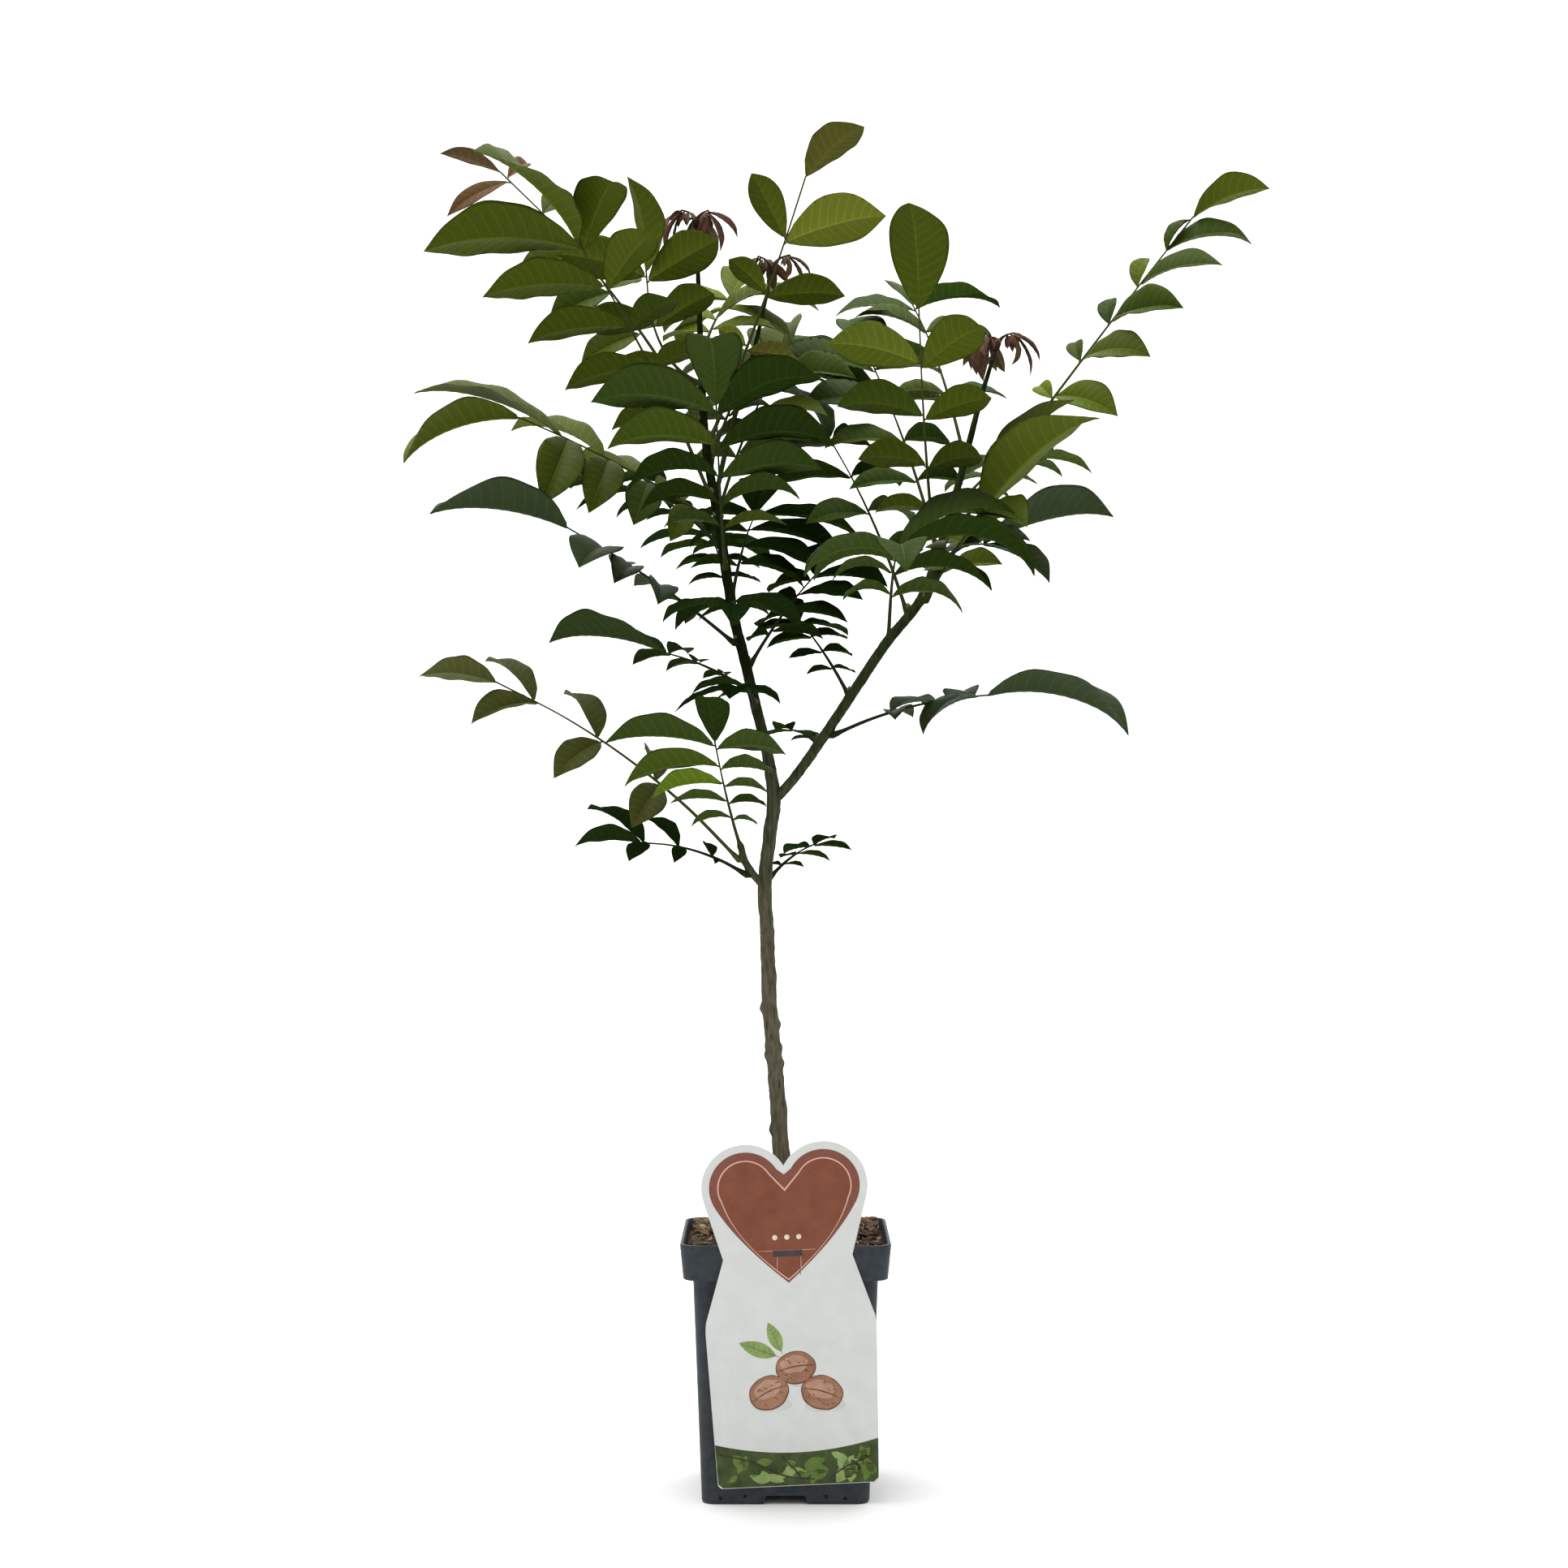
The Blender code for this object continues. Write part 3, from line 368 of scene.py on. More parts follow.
# Soil, chips and straw: sizes are lengths, or shares of the length of a chip
SOIL_GRID = 90
SOIL_SINK = 0.001
SOIL_RELIEF = 0.0012
SOIL_GRAIN = 70.0
SOIL_LAYER = 0.3
SOIL_FRACTAL = (0.8, 2.0, 4)
SOIL_FOOT = 0.175
SOIL_TAPER = 0.988
SOIL_STOPS = ((0.30, (0.030, 0.018, 0.010)), (0.52, (0.070, 0.042, 0.022)), (0.72, (0.130, 0.085, 0.045)))
SOIL_LOOK = Look(0.95, 260.0, 0.8, 0.0015)
CHIP_COUNT = 1100
CHIP_PILE = 0.0095
CHIP_SINK = 0.0005
CHIP_MARGIN = 0.004
CHIP_OVER = 0.003
CHIP_TRUNK_ROOM = 0.009
CHIP_LENGTH = 0.004
CHIP_LONGER = 0.013
CHIP_WIDTH = (0.4, 0.8)
CHIP_THICK = (0.12, 0.3)
CHIP_TIP = 0.35
CHIP_SIDES = (5, 6, 7)
CHIP_SKEW = 0.25
CHIP_REACH = (0.72, 1.0)
CHIP_UNEVEN = 0.12
CHIP_LAYERS = ((-0.5, 0.8), (0.1, 1.0), (0.5, 0.75))
CHIP_CHOICE = (0, 0, 1, 1, 2, 2, 3)
CHIP_LOOK = Look(0.85, 700.0, 0.5, 0.0006, stretch=(1.0, 0.35, 1.0))
STRAW_COUNT = 190
STRAW_MARGIN = 0.004
STRAW_TRUNK_ROOM = 0.010
STRAW_REACH = (0.002, 0.005)
STRAW_HEIGHT = (0.5, 0.95)
STRAW_SLOPE = 0.2
STRAW_BEND = 0.4
STRAW_RISE = 0.0005
STRAW_RADIUS = (0.00025, 0.0005)
STRAW_SIDES = 5
STRAW_STOPS = ((0.3, (0.250, 0.185, 0.100)), (0.7, (0.420, 0.330, 0.200)))
CHIP_TONES = (
    ((0.3, (0.060, 0.034, 0.018)), (0.7, (0.120, 0.072, 0.038))),
    ((0.3, (0.110, 0.066, 0.032)), (0.7, (0.200, 0.125, 0.064))),
    ((0.3, (0.036, 0.022, 0.014)), (0.7, (0.080, 0.050, 0.030))),
    ((0.3, (0.240, 0.170, 0.095)), (0.7, (0.360, 0.270, 0.160))),
)

# Card looks. Places of the print are across and up on the face of the card.
PAPER_LOOK = Look(0.38, 60.0, 0.03, 0.0002, specular=0.12)
INK_LOOK = Look(0.38, 90.0, 0.02, 0.0001, specular=0.12)
CARD_STOPS = ((0.35, (0.610, 0.628, 0.606)), (0.65, (0.650, 0.668, 0.646)))
PRINT_STEP = 0.00005
PRINT_SINK = 0.0003
PRINT_SEED = 5
PRINT_STOPS = {
    "heart_rim": ((0.30, (0.195, 0.070, 0.048)), (0.70, (0.225, 0.084, 0.058))),
    "heart_line": ((0.35, (0.62, 0.38, 0.31)), (0.65, (0.70, 0.44, 0.36))),
    "heart_inner": ((0.30, (0.185, 0.058, 0.030)), (0.70, (0.225, 0.078, 0.043))),
    # the slot and cuts of the card: painted shade in the openings
    "slot_dark": ((0.35, (0.045, 0.035, 0.034)), (0.65, (0.070, 0.056, 0.054))),
    "cream": ((0.35, (0.66, 0.60, 0.50)), (0.65, (0.74, 0.68, 0.58))),
    "nut_shadow": ((0.35, (0.52, 0.53, 0.51)), (0.65, (0.60, 0.61, 0.59))),
    "nut_dark": ((0.35, (0.120, 0.052, 0.028)), (0.65, (0.165, 0.076, 0.042))),
    "nut_brown": ((0.35, (0.270, 0.130, 0.078)), (0.65, (0.350, 0.185, 0.115))),
    "nut_light": ((0.35, (0.400, 0.225, 0.150)), (0.65, (0.500, 0.300, 0.205))),
    "band_dark": ((0.30, (0.030, 0.046, 0.014)), (0.70, (0.075, 0.105, 0.034))),
    "band_green": ((0.35, (0.085, 0.140, 0.026)), (0.65, (0.140, 0.210, 0.050))),
    "band_light": ((0.35, (0.200, 0.290, 0.085)), (0.65, (0.280, 0.380, 0.130))),
    "twig": ((0.35, (0.038, 0.026, 0.018)), (0.65, (0.070, 0.048, 0.034))),
}

# Hearts: radius of the lobes, and height of the notch and of the tip
HEART_RIM = (0.0268, 0.2328, 0.1521)
HEART_LINE = (0.0208, 0.2222, 0.1540)
HEART_INNER = (0.0198, 0.2203, 0.1552)
HEART_CONTROL = (0.0378, 0.1846)
HEART_TURN = (150, -28)
HEART_STEPS = 24
HEART_TIP_STEPS = 14
DOT_RADIUS = 0.0019
DOT_APART = 0.0088
DOT_UP = 0.1862
DOT_STEPS = 20

# Slot with a line over it and two cuts down from it, each with a light edge beside it. The slot and the cuts
# are dark strips of painted shade where the card is cut open.
SLOT_UP = 0.1742
SLOT_HALF = 0.0108
SLOT_HIGH = 0.0046
SLOT_LINE = (-0.0215, 0.0, 0.0205)
SLOT_LINE_RISE = 0.0022
SLOT_LINE_WIDTH = 0.0005
SLOT_CUTS = ((-0.0082, 0.0120), (0.0092, 0.0165))
SLOT_CUT_START = 0.001
SLOT_CUT_SLANT = (0.0, 0.0002, 0.0006)
SLOT_CUT_WIDTH = 0.0006

# Nuts: place across and up, half width, half height and turn
NUTS = (
    (0.002, 0.0885, 0.0150, 0.0125, 8),
    (-0.0185, 0.0705, 0.0152, 0.0128, 24),
    (0.0205, 0.0690, 0.0158, 0.0130, -18),
)

# Layers of a nut: tone, shift across and up, drop, width and height as shares, turned or not, unevenness
NUT_LAYERS = (
    ("nut_shadow", 0.002, 0.0, 0.72, 0.95, 0.42, 0, 0.0),
    ("nut_dark", 0.0, 0.0, 0.0, 1.0, 1.0, 1, 0.012),
    ("nut_brown", 0.0, 0.0003, 0.0, 0.95, 0.93, 1, 0.014),
    ("nut_light", -0.0012, 0.0028, 0.0, 0.68, 0.52, 1, 0.05),
)
NUT_SEED_SCALE = 1e4
NUT_SEAM_HALF = 0.93
NUT_SEAM_STEPS = 15
NUT_SEAM_BEND = 0.16
NUT_SEAM_DROP = 0.06
NUT_SEAM_WIDTH = 0.0010
NUT_WRINKLES = 11
WRINKLE_ACROSS = 0.66
WRINKLE_UP = (0.22, 0.62)
WRINKLE_RISE = 0.12
WRINKLE_RUN = (0.10, 0.2)
WRINKLE_CURL = 0.05
WRINKLE_WIDTH = 0.0007

# Printed leaves: foot across and up, length, width and turn, and the places of their veins
PRINT_LEAVES = ((-0.012, 0.098, 0.029, 0.0115, 158), (-0.008, 0.101, 0.024, 0.0100, 112))
LEAF_STEPS = 9
LEAF_RIB = (-0.08, 0.3, 0.6, 0.94)
LEAF_RIB_WIDTH = 0.0006
LEAF_VEINS = 5
VEIN_AHEAD = 0.0028
VEIN_REACH = 0.34
LEAF_VEIN_WIDTH = 0.00035

# Green band along the foot of the card
BAND_SIDE_UP = 0.0330
BAND_MIDDLE_UP = 0.0250
BAND_FOOT_UP = 0.0004
BAND_SIDE_IN = 0.0003
BAND_FOOT_IN = 0.0004
BAND_CORNER = 0.0035
BAND_STEPS = 16
BAND_LEAVES = 70
BAND_LEAF_LENGTH = (0.008, 0.017)
BAND_LEAF_WIDTH = (0.42, 0.62)
BAND_LEAF_TOP_ROOM = 0.0006
BAND_LEAF_SIDE_ROOM = 0.001
BAND_CHOICE = ("band_green", "band_green", "band_light", "band_dark")
TWIG_WIDTH = 0.0013
TWIG_STEPS = 8
TWIGS = (
    ((-0.058, 0.026), (-0.034, 0.0195), (-0.010, 0.008), (0.012, 0.0045)),
    ((-0.012, 0.0225), (-0.002, 0.012), (0.004, 0.0022)),
    ((0.022, 0.0040), (0.036, 0.013), (0.056, 0.0205)),
)

# Camera, taken from the picture: square frame, level view along +Y
CAMERA_PLACE = (-0.0012, -2.4, 0.532)
CAMERA_LENS = 72.65
CAMERA_SENSOR = 36.0

# Light: name, place, aim, size and power of each soft square light
SKY_STRENGTH = 0.55
STUDIO_AIM = (0.0, 0.0, 0.6)
LIGHTS = (
    ("top_light", (-0.5, -0.8, 2.8), STUDIO_AIM, 2.0, 40.0),
    ("front_light", (1.6, -2.6, 1.4), STUDIO_AIM, 1.6, 3.0),
    ("backdrop_light", (0.0, 1.2, 4.2), (0.0, 4.0, 0.6), 4.0, 220.0),
)

# Floor: it starts to curve up at a distance behind the plant
FLOOR_REACH = 14.0
FLOOR_DROP = 0.0004
FLOOR_WHITE = (0.93, 0.93, 0.93)
FLOOR_ROUGH = 0.9
FLOOR_SHINE = 0.1
BACKDROP_START = 2.0
BACKDROP_ROUND = 2.0
BACKDROP_STEPS = 12

# Fine leaflets: columns from the midrib to the margin as shares, and the veins
COLUMNS = (0.035, 0.30, 0.60, 0.86, 1.0)
VEIN_EVERY = 0.0072
VEIN_HALF = 0.00028
VEIN_COUNTS = (5, 12)
VEIN_SWEEP = 0.55
VEIN_CURVE = 1.25
FIRST_VEIN = 0.05
VEIN_RUN = 0.90
BLADE_START = 0.0012
BLADE_SKIN = 0.00022
RIB_DEPTH = 0.00022
MIDRIB_DEPTH = 0.00055
PUCKER = 0.0045
WAVE = 0.035
CROWN = 0.34
TIP_DROP = 0.5
BOW = 0.035
TWIST = 0.24
ROW_ENDS = (0.015, 0.985)
FOLD_SPREAD = (0.6, 1.25)
CROWN_FADE = 1.6
WAVE_PHASE = 6.28
WAVE_COUNTS = (2.2, 4.0)
WAVE_HAND_SHIFT = 1.1
TIP_DROP_FROM = 0.72
TIP_DROP_SPREAD = (0.2, 1.0)
RIB_REACH = 0.8

# Fine stalks: tapers are shares of the radius and sinks are depths under the foot. The stalk of a leaf
# starts at a share of the way from the middle of its limb to its foot.
STALK_RUN = 0.004
STALK_ROUND = 8
STALK_END_SHARE = 0.75
STALK_TAPER = 1.3
STALK_SUNK_SHARE = 0.9
LEAF_START = 0.4
SHOOT_SINK = 0.002
FROND_SINK = 0.001
BASE_SWELL = 0.0011
BASE_SWELL_RUN = 0.006
PETIOLE_RADIUS = 0.00065
PETIOLE_TAPER = (1.4, 1.0, 0.6)
PETIOLE_END = 0.002
PETIOLE_SIDES = 5

# Linear colours of the leaves: the upper and the lower face of each tone, and the tones of each tint and of
# the leaflets of a leaf in turn. The tones carry painted light and shade: high leaves get lighter tones
# (sunlit, sunny, light) as painted sunlight, and low and inner leaves get darker ones (deep, middle_deep,
# shade) as painted shade. The lower faces of the green tones are painted a little brighter than the upper
# ones and as saturated, as painted light shining through the leaf. bronze, red and red_green are the colours
# of young leaves.
TONES = {
    "sunlit": ((0.165, 0.195, 0.022), (0.185, 0.212, 0.024)),
    "sunny": ((0.100, 0.136, 0.010), (0.118, 0.152, 0.014)),
    "light": ((0.068, 0.094, 0.007), (0.080, 0.106, 0.007)),
    "upper": ((0.048, 0.068, 0.005), (0.062, 0.085, 0.005)),
    "deep": ((0.036, 0.056, 0.005), (0.046, 0.070, 0.005)),
    "golden": ((0.084, 0.086, 0.012), (0.112, 0.108, 0.018)),
    "olive": ((0.058, 0.066, 0.012), (0.066, 0.074, 0.018)),
    "middle": ((0.027, 0.047, 0.005), (0.031, 0.053, 0.006)),
    "middle_deep": ((0.015, 0.029, 0.004), (0.017, 0.032, 0.005)),
    "shade": ((0.010, 0.021, 0.004), (0.012, 0.024, 0.005)),
    "outer_deep": ((0.021, 0.034, 0.009), (0.027, 0.041, 0.013)),
    "outer": ((0.024, 0.040, 0.011), (0.029, 0.046, 0.016)),
    "fresh": ((0.080, 0.140, 0.005), (0.090, 0.150, 0.008)),
    "bronze": ((0.094, 0.052, 0.020), (0.090, 0.060, 0.024)),
    "red": ((0.078, 0.036, 0.024), (0.088, 0.046, 0.030)),
    "red_green": ((0.070, 0.052, 0.026), (0.080, 0.062, 0.032)),
}
# Tints by place on the tree: upper leaves get painted light, middle and lower leaves get painted shade, and
# young shoots get their own red and bronze.
TINT_TONES = {
    "upper": ("upper", "upper", "light", "deep"),
    "middle": ("middle", "middle", "middle_deep", "deep"),
    "lower": ("shade", "shade", "shade", "middle_deep"),
    "young": ("red", "red", "bronze", "red_green"),
}
# Tones leaflet by leaflet for some leaves, chosen lighter or darker to paint the light and shade that falls
# on each.
SPRAY_TONES = {
    "leaf_upper_left_front": ("upper", "upper", "upper", "light", "upper", "deep"),
    "leaf_top_centre": ("golden", "sunlit", "light", "upper", "light"),
    "leaf_bough_front": ("upper", "light", "sunny", "upper", "deep", "deep", "upper"),
    "leaf_far_right": ("light", "deep", "deep", "light", "deep", "middle", "deep", "deep", "upper", "sunny"),
    "leaf_middle_left": ("light", "upper", "upper", "upper", "light", "deep"),
    "leaf_low_long": ("olive",),
    "leaf_left_long": ("outer",),
    "leaf_low_right_long": ("outer",),
    "leaf_left_low": ("outer_deep",),
    "leaf_right": ("outer", "middle"),
    "leaf_right_front": ("light", "light", "upper"),
    "leaf_centre_front": ("middle", "middle_deep", "middle", "middle_deep", "deep"),
    "leaf_low_front": ("middle_deep", "middle", "middle", "middle", "deep", "middle", "fresh"),
    "leaf_top_back_light": ("light", "sunny"),
    "leaf_upper_back_right": ("upper", "deep", "middle"),
    "leaf_bough_low_front": ("middle", "middle_deep", "middle", "middle"),
}
BRONZE_LEAF = "leaf_top_left_back"
BRONZE_COUNT = 3
SLIM = 0.58
YOUNG_SPREAD = ((0.0, 0.0, 1.0), (0.35, 0.5, 0.9), (-0.3, -0.55, 0.85))
# Midstalks by tint: those of middle and lower leaves are darker as painted shade, not as a colour of their
# own.
STALK_TONES = {
    "upper": (0.058, 0.064, 0.016),
    "middle": (0.028, 0.038, 0.010),
    "lower": (0.015, 0.023, 0.008),
    "young": (0.055, 0.032, 0.020),
}
VEIN_LIFT = 1.6
LEAF_ROUGH = 0.50
DULL_TONES = ("shade", "middle_deep", "outer_deep")
STALK_ROUGH = 0.70
STALK_SHINE = 0.02
UNDER_ROUGH = 0.65
RIB_LIFT = 1.5
LEAF_SHINE = 0.06


def ring_faces(rings, sides, first=0):
    """Quads between consecutive rings of points."""
    faces = []
    for ring in range(rings - 1):
        for side in range(sides):
            near = first + ring * sides + side
            next_near = first + ring * sides + (side + 1) % sides
            faces.append((near, next_near, next_near + sides, near + sides))
    return faces


def tube_shape(tube, sides, extra=0.0):
    """Points and faces of a tapering tube with flat ends."""
    points = []
    count = len(tube.points)
    side_way = None
    for index, centre in enumerate(tube.points):
        along = (tube.points[min(index + 1, count - 1)] - tube.points[max(index - 1, 0)]).normalized()
        if side_way is None:
            side_way = along.orthogonal().normalized()
        side_way = (side_way - along * side_way.dot(along)).normalized()
        other = along.cross(side_way)
        for side in range(sides):
            angle = 2 * math.pi * side / sides
            reach = tube.radii[index] + extra
            points.append(centre + (side_way * math.cos(angle) + other * math.sin(angle)) * reach)
    faces = ring_faces(count, sides)
    faces.append(tuple(range(sides)))
    faces.append(tuple(range((count - 1) * sides, count * sides)))
    return points, faces


def spline(knots, steps):
    """Points of a Catmull-Rom curve through the knots, with steps points for each span."""
    rows = [knots[0] * 2 - knots[1], *knots, knots[-1] * 2 - knots[-2]]
    found = []
    for index in range(1, len(rows) - 2):
        before, start, end, after = rows[index - 1 : index + 3]
        for step in range(steps):
            t = step / steps
            found.append(
                start
                + (end - before) * (0.5 * t)
                + (before * 2 - start * 5 + end * 4 - after) * (0.5 * t * t)
                + (start * 3 - before - end * 3 + after) * (0.5 * t**3)
            )
    return [*found, knots[-1]]


def smooth_limb(knots, steps):
    """Tube along the smooth curve through the knots of a limb."""
    samples = spline([Vector(knot) for knot in knots], steps)
    return Tube([sample.to_3d() for sample in samples], [sample.w / 2 for sample in samples])


def limb_at(limb, height):
    """Centre, direction and radius of a limb at a height."""
    for index in range(len(limb.points) - 1):
        low, high = limb.points[index], limb.points[index + 1]
        if low.z <= height <= high.z:
            share = (height - low.z) / (high.z - low.z)
            radius = limb.radii[index] + (limb.radii[index + 1] - limb.radii[index]) * share
            return low.lerp(high, share), (high - low).normalized(), radius
    raise ValueError(height)


def bezier(start, control, end, t):
    return start * (1 - t) ** 2 + control * (2 * t * (1 - t)) + end * t**2


def flat_heading(start, end):
    return Vector((end.x - start.x, end.y - start.y, 0.0)).normalized()


def stalk_of(leaf, limb):
    """Midstalk of a leaf from just clear of its limb to its end."""
    centre, along, radius = limb_at(limb, leaf.foot)
    end = Vector(leaf.end)
    way = (end - centre).normalized()
    heading = flat_heading(centre, end)
    bulge = way.cross(UP.cross(heading)).normalized() * (2 * leaf.arch)
    out = (heading - along * heading.dot(along)).normalized()
    first = ((centre + end) / 2 + bulge - centre).normalized()
    slant = math.sqrt(max(0.0, 1 - first.dot(out) ** 2))
    foot = centre + out * (radius + GAP + 0.0001 + STALK_FOOT_RADIUS * slant)
    control = (foot + end) / 2 + bulge
    points = [bezier(foot, control, end, index / (STALK_RINGS - 1)) for index in range(STALK_RINGS)]
    spread = STALK_FOOT_RADIUS - STALK_END_RADIUS
    radii = [STALK_FOOT_RADIUS - spread * min(1.0, index / 3) for index in range(STALK_RINGS)]
    return Tube(points, radii)


def stalk_point(stalk, share):
    """Point and direction at a share of the length of a midstalk."""
    place = share * (len(stalk.points) - 1)
    index = min(int(place), len(stalk.points) - 2)
    low, high = stalk.points[index], stalk.points[index + 1]
    return low.lerp(high, place - index), (high - low).normalized()


def spine_point(blade, t):
    """Point and normal of the midrib of a leaflet at a share of its length."""
    bend = max(blade.droop, 0.02)
    first = bend * START_RISE
    angle = first - bend * t
    ahead = (math.sin(first) - math.sin(angle)) / bend * blade.length
    above = (math.cos(angle) - math.cos(first)) / bend * blade.length
    point = blade.root + blade.along * ahead + blade.normal * above
    return point, blade.normal * math.cos(angle) - blade.along * math.sin(angle)


def half_width(blade, t):
    return blade.width / 2 * math.sin(math.pi * t**1.1) ** 0.8


def blade_shape(blade, extra=0.0):
    """Points and faces of a leaflet: a point in the stalk, folded lens sections and a tip."""
    thick = (blade.length * BLADE_THICK_SHARE + BLADE_THICK) / 2 + extra
    side_way = blade.along.cross(blade.normal)
    stations = STATIONS if blade.length > SHORT_BLADE else SHORT_STATIONS
    points = [blade.root - blade.along * STALK_END_RADIUS]
    for t in stations:
        centre, normal = spine_point(blade, t)
        half = half_width(blade, t) * BLADE_FULL + extra
        across = side_way * (half * math.cos(blade.fold))
        raised = normal * (half * math.sin(blade.fold))
        points.append(centre - across + raised)
        points.append(centre + normal * thick)
        points.append(centre + across + raised)
        points.append(centre - normal * thick)
    points.append(spine_point(blade, 1.0)[0] + blade.along * extra)
    last = len(points) - 1
    faces = ring_faces(len(stations), 4, 1)
    for side in range(4):
        faces.append((0, 1 + side, 1 + (side + 1) % 4))
        faces.append((last, last - 4 + side, last - 4 + (side + 1) % 4))
    return points, faces


def tree_of(points, faces):
    """Search tree of a shape with its lowest and highest corner."""
    low = Vector([min(point[axis] for point in points) for axis in range(3)])
    high = Vector([max(point[axis] for point in points) for axis in range(3)])
    return BVHTree.FromPolygons(points, faces), low, high


def turned(blade, pitch, yaw, scale):
    """The leaflet pitched about its width, turned about its normal and shortened."""
    side_way = blade.along.cross(blade.normal)
    turn = Quaternion(blade.normal, yaw) @ Quaternion(side_way, pitch)
    return blade._replace(
        along=turn @ blade.along,
        normal=turn @ blade.normal,
        length=blade.length * scale,
        width=blade.width * scale,
    )


def is_free(blade, owner, taken):
    """Whether a leaflet clears all other masses, and beyond its root its own leaflets too."""
    points, faces = blade_shape(blade, ROOM)
    whole, low, high = tree_of(points, faces)
    outer = BVHTree.FromPolygons(points, [face for face in faces if 0 not in face])
    for name, own_stalk, tree, other_low, other_high in taken:
        if own_stalk and name == owner:
            continue
        if any(low[axis] > other_high[axis] or high[axis] < other_low[axis] for axis in range(3)):
            continue
        if (outer if name == owner else whole).overlap(tree):
            return False
    return True


def settled(blade, owner, taken):
    """The first free variant of a leaflet, or None."""
    for scale in SHRINKS:
        for pitch in PITCHES:
            for yaw in YAWS:
                tried = turned(blade, pitch, yaw, scale)
                if is_free(tried, owner, taken):
                    return tried
    return None


def dipped(ahead, face, angle):
    """Direction and normal of a leaflet lowered by an angle about its width."""
    face = (face - ahead * face.dot(ahead)).normalized()
    turn = Quaternion(ahead.cross(face), -angle)
    return turn @ ahead, turn @ face


def of_hand(value, hand):
    """Value for the left hand, 1, or the right hand, -1, of a leaf that may have one for both."""
    if isinstance(value, tuple):
        return value[0] if hand > 0 else value[1]
    return value


def wanted_blades(stalk, leaf, chance):
    """Leaflets of one frond before they are tested, from its end to its foot."""
    heading = flat_heading(stalk.points[0], stalk.points[-1])
    level = UP.cross(heading)
    length = (stalk.points[-1] - stalk.points[0]).length
    lean = math.radians(leaf.tilt)
    root, along = stalk_point(stalk, 1.0 - 0.001 / length)
    ahead, face = dipped(along, along.cross(level), math.radians(leaf.nod))
    turn = Quaternion(ahead, lean + math.radians(leaf.roll)) if leaf.roll else Quaternion(along, lean)
    bend = math.radians(of_hand(leaf.droop, 1) * chance.uniform(0.8, 1.1))
    width = leaf.top * BLADE_RATIO * chance.uniform(1.0, 1.15)
    found = [Blade(root, ahead, turn @ face, leaf.top, width, bend, BLADE_FOLD)]
    for pair in reversed(range(leaf.pairs)):
        grown = pair / max(1, leaf.pairs - 1)
        share = leaf.first + (leaf.last - leaf.first) * grown
        for hand, longest in ((1, leaf.left), (-1, leaf.right)):
            root, along = stalk_point(stalk, share - (PAIR_OFFSET / length if hand > 0 else 0.0))
            upper = along.cross(level).normalized()
            out = (level * math.cos(lean) - upper * math.sin(lean)) * hand
            face = upper * math.cos(lean) + level * math.sin(lean)
            sweep = FIRST_SWEEP + (of_hand(leaf.sweep, hand) - FIRST_SWEEP) * grown
            sweep = math.radians(sweep * chance.uniform(0.8, 1.2))
            ahead = (out * math.cos(sweep) + along * math.sin(sweep)).normalized()
            dip = math.radians(of_hand(leaf.dip, hand) + chance.uniform(-7, 7))
            ahead, face = dipped(ahead, face * 0.7 + UP * 0.3, dip)
            size = longest * (leaf.small + (1 - leaf.small) * grown) * chance.uniform(0.92, 1.04)
            bend = math.radians(of_hand(leaf.droop, hand) * chance.uniform(0.75, 1.25))
            width = size * BLADE_RATIO * chance.uniform(0.92, 1.1)
            found.append(Blade(root, ahead, face, size, width, bend, BLADE_FOLD))
    return found


def shoot_tubes(shoot, limb):
    """Stem and fronds of a young shoot above the tip of its limb."""
    tip = limb.points[-1]
    along = (tip - limb.points[-2]).normalized()
    foot = tip + along * (GAP + 0.0001)
    crown = foot + along * SHOOT_STEM
    tubes = [Tube([foot, crown], [SHOOT_RADIUS, SHOOT_RADIUS])]
    for index in range(SHOOT_FRONDS):
        angle = math.radians(shoot.heading + 360 * index / SHOOT_FRONDS)
        out = Vector((math.cos(angle), math.sin(angle), 0.0))
        start = crown - along * (SHOOT_RADIUS * (1 + 0.8 * index))
        end = start + out * shoot.reach + UP * (shoot.reach * 0.75)
        control = start + out * (shoot.reach * 0.2) + UP * (shoot.reach * 0.7)
        points = [bezier(start, control, end, step / 3) for step in range(4)]
        tubes.append(Tube(points, [SHOOT_RADIUS * 0.8] * 4))
    return tubes


def plan_masses():
    """Limbs, and all leaves and young shoots with leaflets that keep clear of each other."""
    limbs = {name: smooth_limb(knots, LIMB_STEPS) for name, knots in LIMBS.items()}
    masses = []
    for leaf in LEAVES:
        masses.append((leaf, Mass(leaf.name, leaf.tint, [stalk_of(leaf, limbs[leaf.limb])], [])))
    for shoot in SHOOTS:
        masses.append((shoot, Mass(shoot.name, "young", shoot_tubes(shoot, limbs[shoot.limb]), [])))
    taken = []
    for name, limb in limbs.items():
        taken.append((name, True, *tree_of(*tube_shape(limb, LIMB_SIDES, ROOM))))
    for _, mass in masses:
        for tube in mass.tubes:
            taken.append((mass.name, True, *tree_of(*tube_shape(tube, STALK_SIDES, ROOM))))
    for row, mass in masses:
        chance = random.Random(mass.name)
        leaf, fronds = row, mass.tubes
        if mass.tint == "young":
            leaf = SHOOT_FROND._replace(left=row.blade * 0.85, right=row.blade * 0.85, top=row.blade)
            fronds = mass.tubes[1:]
        wanted = [blade for frond in fronds for blade in wanted_blades(frond, leaf, chance)]
        for blade in wanted:
            placed = settled(blade, mass.name, taken)
            if placed:
                mass.blades.append(placed)
                taken.append((mass.name, False, *tree_of(*blade_shape(placed, ROOM))))
    return limbs, [mass for _, mass in masses]


